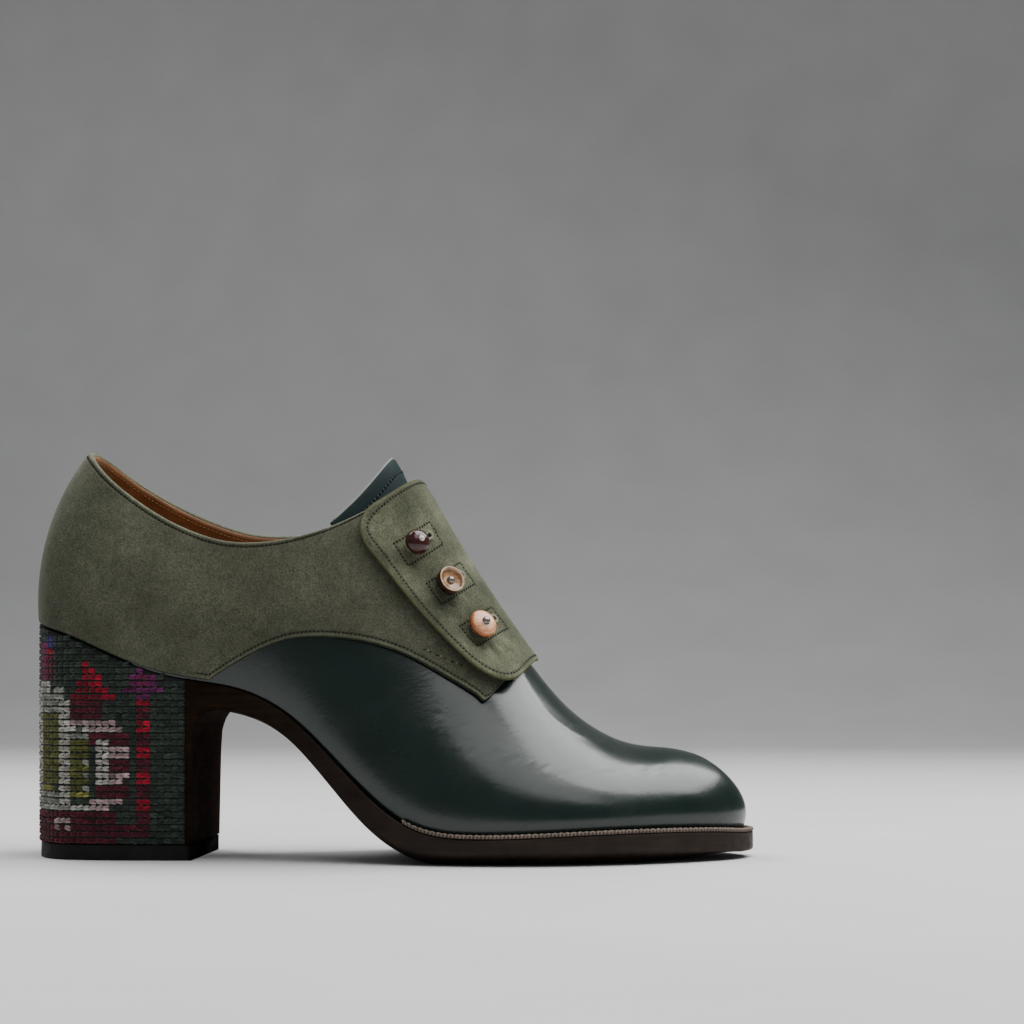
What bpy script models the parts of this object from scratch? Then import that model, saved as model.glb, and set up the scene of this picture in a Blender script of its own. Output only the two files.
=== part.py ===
"""Right-foot block heel shoe with a buttoned instep flap, built round the last it is made on.

All lengths are metres. On the last, x runs forward from the back of the heel, y towards the
inner side of the foot and z up from the floor. A place on the last is given by u and t:
u counts the stations of LAST round the feather line, from the heel back along the outer side
to the toe and home along the inner side, and t runs up the wall from feather line to ridge.
"""

import math
from typing import NamedTuple

import bmesh
import bpy
import numpy as np
from mathutils import Matrix, Vector

# Driving dimensions
LENGTH = 0.2468
BALL_WIDTH = 0.080
HEEL_HEIGHT = 0.080
INSTEP_HEIGHT = 0.127
GAP = 0.0003

# Leather thicknesses
UPPER_WALL = 0.0014
QUARTER_WALL = 0.0012
FLAP_WALL = 0.0015
TONGUE_WALL = 0.0014
INSOLE_WALL = 0.0028
WELT_WALL = 0.0011
BREAST_WALL = 0.0021
FLAP_INSIDE = QUARTER_WALL + 2 * GAP

# Heel
HEEL_FRONT = 0.0570
HEEL_TAPER = 0.90
HEEL_BACK_INSET = 0.0012
LIFT_HEIGHT = 0.0053
LIFT_INSET = 0.0008
LIFT_FRONT = HEEL_FRONT + GAP + BREAST_WALL
BEND_LENGTH = 0.012

# Collar, scallop, flap and tongue
SHANK = (2.0, 6.0)
THROAT = (4.0, 8.0)
COLLAR_STEP = 0.0006
INNER_COLLAR_RISE = 0.0060
INNER_COLLAR_SKEW = 0.85
QUARTER_FOOT = 0.010
QUARTER_FACING = 0.84
QUARTER_FRONT_SPAN = 0.25
QUARTER_FRONT_SLOPE = 0.72
FLAP_LENGTH = 0.0740
FLAP_TOP_WIDTH = 0.0415
FLAP_FOOT_WIDTH = 0.0325
FLAP_INNER_WIDTH = 0.0165
FLAP_CORNER = 0.0090
FLAP_LEAN = 8.0
TONGUE_ABOVE = 0.0115
TONGUE_BELOW = 0.0230
TONGUE_HALF_WIDTH = 0.0450
TONGUE_DROP = 0.0095

# Buttons
BUTTON_SHANK_RADIUS = 0.0012
BUTTONHOLE_LENGTH = 0.0115
BUTTONHOLE_WIDTH = 0.0032
BUTTON_STAND = 0.0009

# Mesh fineness
STATION_STEPS = 3
COLUMN_SNAP = 0.15
WALL_ROWS = 15
ROW_CROWDING = 1.3
EDGE_SNAP = 0.35
CLIMB_T = (0.64, 0.72, 0.79, 0.84)
FRONT_SHARES = (0.0, 0.25, 0.5, 0.75, 1.0)
TURN_STEPS = 20
ACROSS = np.linspace(0.0, 1.0, 5)[:, None]


class Station(NamedTuple):
    """One section of the last, in percent.

    x and ridge_x are of LENGTH; outer, inner, ridge_y, flare_out, flare_in and spread of
    BALL_WIDTH; seat of HEEL_HEIGHT; ridge_z, rise and crest of INSTEP_HEIGHT. flare and rise
    lead the wall out and up from the feather line, spread and crest lead it into the ridge.
    """
    name: str
    x: float
    outer: float
    inner: float
    seat: float
    ridge_x: float
    ridge_y: float
    ridge_z: float
    flare_out: float
    flare_in: float
    rise: float
    spread: float
    crest: float


LAST = (
    Station("heel back", 0.85, 0.0, 0.0, 100.0, 20.5, 0.0, 129.9, 3.8, 3.8, 27.6, 44.0, -15.7),
    Station("heel round", 2.9, 21.9, 21.9, 97.0, 21.7, 0.0, 129.9, 5.0, 5.0, 26.8, 42.5, -14.2),
    Station("heel side", 8.0, 33.1, 32.5, 91.8, 25.0, 0.0, 129.9, 6.2, 6.2, 25.2, 25.0, -11.0),
    Station("breast", 18.6, 35.0, 33.1, 78.5, 31.6, 0.0, 128.7, 7.5, 8.8, 23.6, 27.5, -4.7),
    Station("shank rear", 28.4, 33.8, 28.8, 72.8, 40.5, 1.2, 124.4, 8.8, 12.5, 23.6, 30.0, -1.6),
    Station("waist", 37.3, 35.6, 26.9, 60.2, 49.8, 2.5, 109.8, 8.8, 13.8, 24.4, 31.0, 0.0),
    Station("shank front", 46.2, 41.9, 29.4, 34.1, 57.1, 3.8, 87.3, 7.5, 13.0, 22.8, 28.8, 0.0),
    Station("joint rear", 54.3, 48.1, 36.9, 15.2, 63.8, 4.4, 66.9, 7.5, 10.6, 18.1, 30.0, 0.0),
    Station("ball", 62.8, 51.9, 45.0, 11.1, 69.8, 4.4, 50.6, 7.5, 8.8, 14.2, 31.2, 0.0),
    Station("tread", 72.1, 50.6, 48.1, 11.8, 75.6, 4.4, 38.1, 7.5, 7.5, 11.0, 32.5, 0.0),
    Station("toe box", 81.8, 42.5, 43.8, 12.8, 82.3, 4.0, 30.7, 7.5, 7.5, 8.7, 30.0, 0.0),
    Station("toe side", 90.5, 28.1, 33.8, 12.8, 88.0, 3.8, 29.1, 6.9, 6.9, 7.9, 22.5, 0.0),
    Station("toe round", 96.2, 13.1, 19.4, 12.0, 91.4, 3.8, 27.9, 6.2, 6.2, 7.5, 18.1, 0.0),
    Station("toe tip", 98.6, -3.8, 3.8, 11.1, 92.2, 3.8, 27.4, 6.8, 6.8, 7.5, 17.5, 0.0),
)
TOE = len(LAST) - 1
ROUND = 2 * TOE


class SoleRow(NamedTuple):
    """Outsole at one station of LAST: height of its side, further drop of its underside,
    overhang past the feather line and inset of the underside from the edge."""
    side: float
    drop: float
    overhang: float
    inset: float


BREAST_STATION = 3
WELT_START = 6.9
SOLE = (
    SoleRow(0.0075, 0.0010, 0.0013, 0.0050),
    SoleRow(0.0075, 0.0010, 0.0013, 0.0050),
    SoleRow(0.0073, 0.0010, 0.0014, 0.0050),
    SoleRow(0.0096, 0.0018, 0.0018, 0.0065),
    SoleRow(0.0070, 0.0032, 0.0028, 0.0090),
    SoleRow(0.0049, 0.0050, 0.0034, 0.0100),
    SoleRow(0.0050, 0.0050, 0.0034, 0.0100),
    SoleRow(0.0056, 0.0050, 0.0034, 0.0100),
    SoleRow(0.0061, 0.0030, 0.0035, 0.0090),
    SoleRow(0.0062, 0.0014, 0.0037, 0.0080),
    SoleRow(0.0061, 0.0005, 0.0039, 0.0080),
)


class BendRow(NamedTuple):
    """Outsole section where it turns down over the heel breast, seen from the side.

    Its inner face lies ahead of the heel front and under the seat line there by these steps,
    and its outer face lies reach ahead of the heel front and fall under the breast corner.
    """
    ahead: float
    under: float
    reach: float
    fall: float


BREAST_BEND = (
    BendRow(0.0080, 0.0000, 0.0095, 0.0088),
    BendRow(0.0040, 0.0000, 0.0062, 0.0110),
    BendRow(0.0000, 0.0000, 0.0036, 0.0140),
    BendRow(0.0000, 0.0080, 0.0024, 0.0180),
    BendRow(0.0000, 0.0240, 0.0021, 0.0260),
)


class EdgeRow(NamedTuple):
    """A point of an edge seen from the side: x in percent of LENGTH, z of INSTEP_HEIGHT."""
    x: float
    z: float


COLLAR = (
    EdgeRow(7.3, 110.0),
    EdgeRow(11.6, 101.4),
    EdgeRow(16.3, 94.3),
    EdgeRow(22.4, 87.6),
    EdgeRow(28.2, 83.9),
    EdgeRow(33.8, 83.6),
    EdgeRow(39.3, 85.6),
    EdgeRow(43.9, 88.9),
    EdgeRow(48.6, 94.1),
    EdgeRow(53.0, 100.1),
)

SCALLOP = (
    EdgeRow(22.7, 41.0),
    EdgeRow(25.9, 46.5),
    EdgeRow(30.0, 51.7),
    EdgeRow(36.6, 57.4),
    EdgeRow(43.7, 58.1),
    EdgeRow(51.5, 54.8),
    EdgeRow(59.2, 46.9),
    EdgeRow(63.7, 41.5),
)


class ButtonRow(NamedTuple):
    """A button: its place on the flap pattern, along and across the ridge, and its head."""
    name: str
    along: float
    across: float
    radius: float
    height: float
    colour: tuple


BUTTONS = (
    ButtonRow("button_top", 0.0191, 0.0248, 0.0044, 0.0062, (0.055, 0.012, 0.014)),
    ButtonRow("button_middle", 0.0366, 0.0222, 0.0048, 0.0042, (0.060, 0.025, 0.012)),
    ButtonRow("button_bottom", 0.0554, 0.0217, 0.0050, 0.0040, (0.560, 0.270, 0.170)),
)
PIN_RADIUS = 0.0010
PIN_HEIGHT = 0.0007
PINNED_BUTTONS = ("button_middle", "button_bottom")


# Curves through tables

def closed_curve(knots):
    """Smooth closed curve through evenly numbered knots, as a function of the knot number."""
    knots = np.asarray(knots, float)
    count = len(knots)
    unit = np.eye(count)
    system = 4 * unit + np.roll(unit, 1, axis=1) + np.roll(unit, -1, axis=1)
    slopes = np.linalg.solve(system, 3 * (np.roll(knots, -1, 0) - np.roll(knots, 1, 0)))

    def at(number):
        number = np.asarray(number, float)
        first = np.floor(number).astype(int) % count
        second = (first + 1) % count
        f = (number - np.floor(number))[..., None]
        return (knots[first] * (1 + 2 * f) * (1 - f) ** 2 + slopes[first] * f * (1 - f) ** 2
                + knots[second] * f * f * (3 - 2 * f) + slopes[second] * f * f * (f - 1))

    return at


def edge_height(rows, x):
    """Height of a side-view edge at x, carried on straight past both ends of its table."""
    xs = np.array([row.x for row in rows]) * LENGTH / 100
    zs = np.array([row.z for row in rows]) * INSTEP_HEIGHT / 100
    slopes = np.gradient(zs, xs)
    i = np.clip(np.searchsorted(xs, x) - 1, 0, len(xs) - 2)
    span = xs[i + 1] - xs[i]
    f = (x - xs[i]) / span
    inside = (zs[i] * (1 + 2 * f) * (1 - f) ** 2 + slopes[i] * span * f * (1 - f) ** 2
              + zs[i + 1] * f * f * (3 - 2 * f) + slopes[i + 1] * span * f * f * (f - 1))
    before = zs[0] + slopes[0] * (x - xs[0])
    after = zs[-1] + slopes[-1] * (x - xs[-1])
    return np.where(f < 0, before, np.where(f > 1, after, inside))


def round_the_last(column):
    """Knots of a column for the outer side, then for the inner side back to the heel."""
    return [column(row, -1) for row in LAST] + [column(row, 1) for row in LAST[-2:0:-1]]


def feather_knot(row, side):
    y = row.inner if side > 0 else -row.outer
    return (row.x * LENGTH / 100, y * BALL_WIDTH / 100, row.seat * HEEL_HEIGHT / 100)


def ridge_knot(row, side):
    return (row.ridge_x * LENGTH / 100, row.ridge_y * BALL_WIDTH / 100,
            row.ridge_z * INSTEP_HEIGHT / 100)


def wall_knot(row, side):
    flare = row.flare_in if side > 0 else row.flare_out
    return (flare * BALL_WIDTH / 100, row.rise * INSTEP_HEIGHT / 100,
            row.spread * BALL_WIDTH / 100, row.crest * INSTEP_HEIGHT / 100)


feather = closed_curve(round_the_last(feather_knot))
ridge = closed_curve(round_the_last(ridge_knot))
wall = closed_curve(round_the_last(wall_knot))
sole_rows = [SOLE[0]] * BREAST_STATION + list(SOLE)
sole_at = closed_curve(sole_rows + sole_rows[-2:0:-1])


# The last

def plan_normal(u):
    """Unit outward direction of the feather line in plan."""
    step = 1e-3
    along = feather(u + step) - feather(u - step)
    out = np.stack([along[..., 1], -along[..., 0], np.zeros_like(along[..., 0])], -1)
    return out / np.linalg.norm(out, axis=-1, keepdims=True)


SEAT_LINE = feather(np.linspace(0, TOE, 800))


def seat_height(x):
    """Height of the feather line at x, the same on both sides."""
    return np.interp(x, SEAT_LINE[:, 0], SEAT_LINE[:, 2])


def rim_point(u, overhang, lift=0.0):
    """Point outside the feather line by overhang in plan and above its height there by lift."""
    point = feather(np.array(u)) + overhang * plan_normal(np.array(u))
    point[2] = seat_height(point[0]) + lift
    return point


def ridge_direction(u):
    """Unit direction of the ridge towards the toe; its two ends take their neighbour's."""
    near = 0.05
    s = np.clip(np.where(u > TOE, ROUND - u, u), near, TOE - near)
    along = ridge(s + near) - ridge(s - near)
    return along / np.linalg.norm(along, axis=-1, keepdims=True)


def on_last(u, t):
    """Point of the bare last."""
    u = np.asarray(u, float) % ROUND
    t = np.asarray(t, float)[..., None]
    flare, rise, spread, crest = np.moveaxis(wall(u)[..., None], -2, 0)
    up = np.array([0.0, 0.0, 1.0])
    out = plan_normal(u)
    over = out[..., :1] * ridge_direction(u) + out[..., 1:2] * np.array([0.0, 1.0, 0.0])
    foot = feather(u)
    top = ridge(u)
    lead = foot + flare * out + rise * up
    arrive = top + spread * over + crest * up
    return ((1 - t) ** 3 * foot + 3 * (1 - t) ** 2 * t * lead
            + 3 * (1 - t) * t ** 2 * arrive + t ** 3 * top)


def last_normal(u, t):
    """Unit outward normal of the last."""
    step = 2e-3
    t = np.clip(t, step, 1 - 2 * step)
    along = on_last(u + step, t) - on_last(u - step, t)
    up = on_last(u, t + step) - on_last(u, t - step)
    out = np.cross(along, up)
    return out / np.linalg.norm(out, axis=-1, keepdims=True)


def off_last(u, t, offset):
    """Point at a distance out from the last, or inside it where offset is negative."""
    return on_last(u, t) + last_normal(u, t) * np.asarray(offset)[..., None]


def wall_crossing(u, height, low, high):
    """t at which the wall at u first climbs above the given side-view height, at most 1."""
    below = np.full_like(u, low)
    above = np.full_like(u, high)
    for _ in range(40):
        middle = (below + above) / 2
        point = on_last(u, middle)
        under = point[..., 2] < height(u, point[..., 0])
        below = np.where(under, middle, below)
        above = np.where(under, above, middle)
    return above


def collar_height(u, x):
    """Collar of the suede: higher on the inner side of the ankle."""
    start = COLLAR[0].x * LENGTH / 100
    span = COLLAR[-1].x * LENGTH / 100 - start
    bump = np.sin(math.pi * np.clip((x - start) / span, 0, 1) ** INNER_COLLAR_SKEW)
    return edge_height(COLLAR, x) + np.where(u > TOE, INNER_COLLAR_RISE * bump, 0)


def collar_t(u, drop=0.0):
    """t of the collar, lowered by drop; 1 where the wall ends on the ridge below it."""
    u = np.asarray(u, float) % ROUND
    return wall_crossing(u, lambda v, x: collar_height(v, x) - drop, 0.25, 1.0)


def scallop_t(u):
    """t of the quarters' scalloped lower edge, never under the foot of the wall."""
    u = np.asarray(u, float) % ROUND
    return np.maximum(wall_crossing(u, lambda v, x: edge_height(SCALLOP, x), 0.0, 1.0),
                      QUARTER_FOOT)


def station_where(test, low, high):
    """u between low and high at which test turns from false to true."""
    for _ in range(50):
        middle = (low + high) / 2
        if test(middle):
            high = middle
        else:
            low = middle
    return high


def ridge_leaves_collar(drop):
    """u at which the ridge comes down to the collar, so the wall closes over the foot."""
    def closed(u):
        top = ridge(u)
        return top[2] < collar_height(u, top[0]) - drop
    return station_where(closed, *THROAT)


def side_x(u, t):
    return float(on_last(u, t)[0])


# The flat pattern of flap and tongue: distance along the ridge and distance across from it

FLAP_TOP = ridge_leaves_collar(0.0)
PATTERN_U = np.linspace(FLAP_TOP - 1.5, FLAP_TOP + 4.0, 400)
ridge_steps = np.linalg.norm(np.diff(ridge(PATTERN_U), axis=0), axis=1)
PATTERN_ALONG = np.concatenate([[0.0], np.cumsum(ridge_steps)])
PATTERN_ALONG -= np.interp(FLAP_TOP, PATTERN_U, PATTERN_ALONG)


def pattern_place(along, across):
    """u and t of a pattern point; across is negative on the inner side."""
    u = float(np.interp(along, PATTERN_ALONG, PATTERN_U))
    u = u if across >= 0 else ROUND - u
    falls = np.linspace(1.0, 0.0, 120)
    line = on_last(np.full_like(falls, u), falls)
    girth = np.concatenate([[0.0], np.cumsum(np.linalg.norm(np.diff(line, axis=0), axis=1))])
    return u, float(np.interp(abs(across), girth, falls))


def pattern_point(along, across, offset):
    u, t = pattern_place(along, across)
    return off_last(np.array(u), np.array(t), np.array(offset))


# Blender helpers

def clear_scene():
    for item in list(bpy.data.objects):
        bpy.data.objects.remove(item, do_unlink=True)


def new_collection(name):
    collection = bpy.data.collections.new(name)
    bpy.context.scene.collection.children.link(collection)
    return collection


def new_material(name, colour, roughness, metallic=0.0):
    material = bpy.data.materials.new(name)
    material.use_nodes = True
    shader = material.node_tree.nodes["Principled BSDF"]
    shader.inputs["Base Color"].default_value = (*colour, 1.0)
    shader.inputs["Roughness"].default_value = roughness
    shader.inputs["Metallic"].default_value = metallic
    return material


def grid_mesh(points):
    """Mesh of a grid of points, rows by columns, with coincident points welded."""
    points = np.asarray(points, float)
    rows, columns = points.shape[:2]
    mesh = bmesh.new()
    bmesh.ops.create_grid(mesh, x_segments=columns - 1, y_segments=rows - 1, size=1.0)
    for vertex, point in zip(mesh.verts, points.reshape(-1, 3)):
        vertex.co = point
    bmesh.ops.remove_doubles(mesh, verts=mesh.verts, dist=1e-6)
    bmesh.ops.dissolve_degenerate(mesh, edges=mesh.edges, dist=1e-7)
    return mesh


def loft_mesh(sections):
    """Closed solid through closed sections of equal point count, capped at both ends."""
    sections = np.asarray(sections, float)
    ringed = np.concatenate([sections, sections[:, :1]], axis=1)
    mesh = grid_mesh(ringed)
    bmesh.ops.holes_fill(mesh, edges=[e for e in mesh.edges if e.is_boundary], sides=0)
    bmesh.ops.recalc_face_normals(mesh, faces=mesh.faces)
    return mesh


class Shoe:
    """Collections, root empty and the making of one object for each piece."""

    def __init__(self):
        self.parts = new_collection("block_heel_shoe")
        self.cutters = new_collection("block_heel_shoe_cutters")
        self.root = bpy.data.objects.new("shoe_root", None)
        self.root.location = (-length_middle(), -side_shift(), 0.0)
        self.parts.objects.link(self.root)

    def add(self, name, mesh, material, matrix=None):
        data = bpy.data.meshes.new(name)
        mesh.to_mesh(data)
        mesh.free()
        data.shade_smooth()
        data.materials.append(material)
        piece = bpy.data.objects.new(name, data)
        piece.parent = self.root
        if matrix is not None:
            piece.matrix_basis = matrix
        self.parts.objects.link(piece)
        return piece

    def add_cutter(self, name, mesh, matrix):
        data = bpy.data.meshes.new(name)
        mesh.to_mesh(data)
        mesh.free()
        cutter = bpy.data.objects.new(name, data)
        cutter.parent = self.root
        cutter.matrix_basis = matrix
        cutter.hide_render = True
        cutter.display_type = "WIRE"
        self.cutters.objects.link(cutter)
        return cutter


def thicken(piece, thickness, offset):
    solid = piece.modifiers.new("thickness", "SOLIDIFY")
    solid.thickness = thickness
    solid.offset = offset
    solid.use_even_offset = True


def length_middle():
    """x halfway between the back of the quarters and the front of the sole."""
    t = np.linspace(0.0, 1.0, 200)
    back = off_last(np.zeros_like(t), t, np.full_like(t, GAP + QUARTER_WALL))[:, 0].min()
    front = rim_point(TOE, sole_at(np.array(TOE))[2])[0]
    return (back + front) / 2


def side_shift():
    """y of the middle between the sole's two widest points."""
    u = np.linspace(0, ROUND, 1000)
    edge = feather(u) + plan_normal(u) * sole_at(u)[..., 2:3]
    return (edge[:, 1].min() + edge[:, 1].max()) / 2


def half_round(start, stop):
    """Station numbers from start to stop, both included, on the common grid of sections."""
    inner = [k / STATION_STEPS for k in range(TOE * STATION_STEPS + 1)]
    near = 0.3 / STATION_STEPS
    return [start] + [u for u in inner if start + near < u < stop - near] + [stop]


# Upper: vamp and lining as one wall

def wall_stations():
    """Station numbers of the outer side for upper and quarters, closer where the collar climbs."""
    tip = quarter_tip()[0]
    climb = [station_where(lambda u: collar_t(np.array([u]))[0] > t, *THROAT) for t in CLIMB_T]
    front = [tip + share * QUARTER_FRONT_SPAN for share in FRONT_SHARES]
    keep = climb + front + [0.0, ridge_leaves_collar(COLLAR_STEP), float(TOE)]
    near = COLUMN_SNAP / STATION_STEPS
    grid = [k / STATION_STEPS for k in range(TOE * STATION_STEPS)]
    return sorted(keep + [u for u in grid if min(abs(u - k) for k in keep) > near])


def wall_grid(low, high):
    """t of a piece's rows of points, closer near the ridge and stopped at its two edges."""
    t = 1 - np.linspace(1.0, 0.0, WALL_ROWS + 1)[:, None] ** ROW_CROWDING
    near = EDGE_SNAP / WALL_ROWS
    return np.where(t > high - near, high, np.where(t < low + near, low, t))


def build_upper(shoe):
    outer_side = wall_stations()
    around = np.array(outer_side + [ROUND - u for u in outer_side[-2::-1]])
    t = wall_grid(np.zeros_like(around), collar_t(around, COLLAR_STEP))
    u = np.broadcast_to(around, t.shape)
    leather = new_material("vamp_leather", (0.010, 0.020, 0.018), 0.35)
    upper = shoe.add("upper", grid_mesh(on_last(u, t)), leather)
    thicken(upper, UPPER_WALL, -1)


# Suede quarters round the heel

def quarter_foot(u, tip, tip_t):
    """t of the lower edge: foot of the wall, scallop, then the short front edge."""
    scallop = scallop_t(np.minimum(u, tip))
    front = tip_t + QUARTER_FRONT_SLOPE * (u - tip)
    return np.where(u > tip, front, scallop)


def quarter_tip():
    """u and t of the quarter's pointed front corner."""
    tip_x = SCALLOP[-1].x * LENGTH / 100
    tip = station_where(lambda u: side_x(u, float(scallop_t(np.array(u)))) > tip_x, *THROAT)
    tip_t = float(scallop_t(np.array(tip)))
    return tip, tip_t


def build_quarters(shoe):
    tip, tip_t = quarter_tip()
    half = np.array([u for u in wall_stations() if u <= tip + QUARTER_FRONT_SPAN])
    around = np.concatenate([-half[:0:-1], half])
    low = quarter_foot(np.abs(around), tip, tip_t)
    high = np.minimum(collar_t(around), QUARTER_FACING)
    t = wall_grid(low, high)
    u = np.broadcast_to(around % ROUND, t.shape)
    suede = new_material("olive_suede", (0.115, 0.122, 0.083), 0.95)
    quarters = shoe.add("quarters", grid_mesh(off_last(u, t, np.full(t.shape, GAP))), suede)
    thicken(quarters, QUARTER_WALL, 1)


# Button flap and tongue, laid on from their flat patterns

def rounded_reach(along):
    """Reach of the flap across the outer side, with rounded corners at both ends."""
    from_end = min(along, FLAP_LENGTH - along)
    width = FLAP_TOP_WIDTH + (FLAP_FOOT_WIDTH - FLAP_TOP_WIDTH) * along / FLAP_LENGTH
    if from_end >= FLAP_CORNER:
        return width
    bite = FLAP_CORNER - from_end
    return width - FLAP_CORNER + math.sqrt(FLAP_CORNER ** 2 - bite ** 2)


def leaned(along, across):
    """Distance along the ridge of a line that curves back as it goes down the sides."""
    return along - FLAP_LEAN * across ** 2


def flap_columns():
    """Distances along the ridge of the flap's rows of points, closer at the round corners."""
    corner = [FLAP_CORNER * (1 - math.cos(a)) for a in np.radians([0, 22, 42, 60, 76, 90])]
    middle = np.linspace(FLAP_CORNER, FLAP_LENGTH - FLAP_CORNER, 9)[1:-1]
    return corner + list(middle) + [FLAP_LENGTH - c for c in reversed(corner)]


def build_flap(shoe):
    columns = flap_columns()
    shares = np.linspace(0.0, 1.0, 15)
    points = []
    for share in shares:
        row = []
        for along in columns:
            across = -FLAP_INNER_WIDTH + share * (FLAP_INNER_WIDTH + rounded_reach(along))
            row.append(pattern_point(leaned(along, across), across, FLAP_INSIDE))
        points.append(row)
    suede = new_material("flap_suede", (0.120, 0.127, 0.087), 0.95)
    mesh = grid_mesh(np.array(points)[::-1])
    flap = shoe.add("button_flap", mesh, suede)
    thicken(flap, FLAP_WALL, 1)
    return flap


def build_tongue(shoe):
    shares = np.linspace(-1.0, 1.0, 15)
    downs = np.linspace(0.0, 1.0, 9)
    points = []
    for share in shares:
        across = share * TONGUE_HALF_WIDTH
        top = leaned(TONGUE_DROP * abs(share) - TONGUE_ABOVE, across)
        row = []
        for down in downs:
            along = top + down * (TONGUE_ABOVE + TONGUE_BELOW)
            row.append(pattern_point(along, across, -UPPER_WALL - 3 * GAP))
        points.append(row)
    leather = new_material("tongue_leather", (0.038, 0.065, 0.063), 0.45)
    tongue = shoe.add("tongue", grid_mesh(np.array(points)[::-1]), leather)
    thicken(tongue, TONGUE_WALL, -1)


# Sole

def sole_section(u):
    """Closed section of the outsole across station u: over the top, then under."""
    side, drop, overhang, inset = sole_at(np.array(u))
    low = np.array([0, 0, side])
    top = [rim_point(place, overhang, -GAP) for place in (u, ROUND - u)]
    flat = [rim_point(place, overhang - inset, -GAP - side - drop) for place in (u, ROUND - u)]
    for point in flat:
        point[2] = max(0.0, point[2])
    over = top[0] + ACROSS * (top[1] - top[0])
    beneath = flat[1] + ACROSS * (flat[0] - flat[1])
    return np.concatenate([over, [top[1] - low], beneath, [top[0] - low]])


def heel_width(height_share):
    return HEEL_TAPER + (1 - HEEL_TAPER) * height_share


def heel_edge(u, z):
    """Point of the heel's covered side above u at height z; the heel narrows downwards."""
    rim = rim_point(u, QUARTER_WALL + GAP)
    share = np.clip((z - LIFT_HEIGHT) / (rim[2] - LIFT_HEIGHT), 0, 1)
    back = HEEL_BACK_INSET * (1 - share) * np.clip(1 - rim[0] / HEEL_FRONT, 0, 1)
    return np.array([rim[0] + back, rim[1] * heel_width(share), z])


def station_at(x):
    """u of the outer feather line at x, between heel side and waist."""
    return station_where(lambda u: feather(np.array(u))[0] > x, *SHANK)


def build_outsole(shoe):
    corner_u = station_at(HEEL_FRONT)
    corner = seat_height(HEEL_FRONT) - GAP
    bend_start = station_at(HEEL_FRONT + BEND_LENGTH)
    sections = [sole_section(u) for u in half_round(bend_start, float(TOE))[::-1]]
    foot = BendRow(0.0, corner - LIFT_HEIGHT - GAP, LIFT_FRONT - HEEL_FRONT - GAP,
                   corner - LIFT_HEIGHT - GAP)
    front = HEEL_FRONT + GAP
    for bend in BREAST_BEND + (foot,):
        inner_z = seat_height(front + bend.ahead) - GAP - bend.under
        outer_z = corner - bend.fall
        rims = []
        for place in (corner_u, ROUND - corner_u):
            width_in = heel_edge(place, inner_z)[1]
            width_out = heel_edge(place, outer_z)[1]
            rims.append((np.array([front + bend.ahead, width_in, inner_z]),
                         np.array([front + bend.reach, width_out, outer_z])))
        (outer_in, outer_out), (inner_in, inner_out) = rims
        over = outer_in + ACROSS * (inner_in - outer_in)
        beneath = inner_out + ACROSS * (outer_out - inner_out)
        sections.append(np.concatenate([over, [(inner_in + inner_out) / 2],
                                        beneath, [(outer_in + outer_out) / 2]]))
    leather = new_material("sole_leather", (0.030, 0.020, 0.014), 0.5)
    shoe.add("outsole", loft_mesh(sections), leather)


def build_welt(shoe):
    half = half_round(WELT_START, float(TOE))
    around = half + [ROUND - u for u in half[-2::-1]]
    sections = []
    for u in around:
        overhang = sole_at(np.array(u))[2]
        flare, rise = wall(np.array(u))[:2]
        near = GAP + WELT_WALL * flare / rise
        sections.append([rim_point(u, near), rim_point(u, overhang),
                         rim_point(u, overhang, WELT_WALL), rim_point(u, near, WELT_WALL)])
    leather = new_material("welt_leather", (0.28, 0.20, 0.14), 0.6)
    shoe.add("welt", loft_mesh(sections), leather)


def build_insole(shoe):
    inset = UPPER_WALL + 2 * GAP
    up = np.array([0, 0, INSOLE_WALL])
    sections = []
    for u in half_round(0.0, float(TOE)):
        outer, inner = (rim_point(place, -inset) for place in (u, ROUND - u))
        over = outer + up + ACROSS * (inner - outer)
        beneath = inner + ACROSS * (outer - inner)
        sections.append(np.concatenate([over, beneath]))
    leather = new_material("lining_leather", (0.35, 0.13, 0.03), 0.6)
    shoe.add("insole", loft_mesh(sections), leather)


# Heel

def build_heel(shoe):
    levels = np.linspace(0.0, 1.0, 4)
    foot = LIFT_HEIGHT + GAP
    sections = []
    for u in half_round(0.0, station_at(HEEL_FRONT)):
        sides = []
        for place in (u, ROUND - u):
            seat = rim_point(place, QUARTER_WALL + GAP, -GAP)[2]
            sides.append(np.array([heel_edge(place, z) for z in foot + levels * (seat - foot)]))
        outer, inner = sides
        over = outer[-1] + ACROSS * (inner[-1] - outer[-1])
        beneath = inner[0] + ACROSS * (outer[0] - inner[0])
        sections.append(np.concatenate([over, inner[-2:0:-1], beneath, outer[1:-1]]))
    cloth = new_material("woven_cloth", (0.10, 0.06, 0.05), 0.9)
    shoe.add("heel_block", loft_mesh(sections), cloth)


def build_lift(shoe):
    sections = []
    stations = half_round(0.0, station_at(HEEL_FRONT))
    for u in stations:
        rims = []
        for place in (u, ROUND - u):
            rim = heel_edge(place, LIFT_HEIGHT)
            rims.append(rim - LIFT_INSET * plan_normal(np.array(place)))
        sections.append(lift_section(*rims))
    shift = np.array([LIFT_FRONT - HEEL_FRONT - GAP, 0, 0])
    sections.append(lift_section(*(rim + shift for rim in rims)))
    rubber = new_material("lift_rubber", (0.012, 0.012, 0.012), 0.6)
    shoe.add("heel_top_lift", loft_mesh(sections), rubber)


def lift_section(outer, inner):
    down = np.array([0, 0, LIFT_HEIGHT])
    return [outer, inner, inner - down, outer - down]


# Buttons

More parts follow.
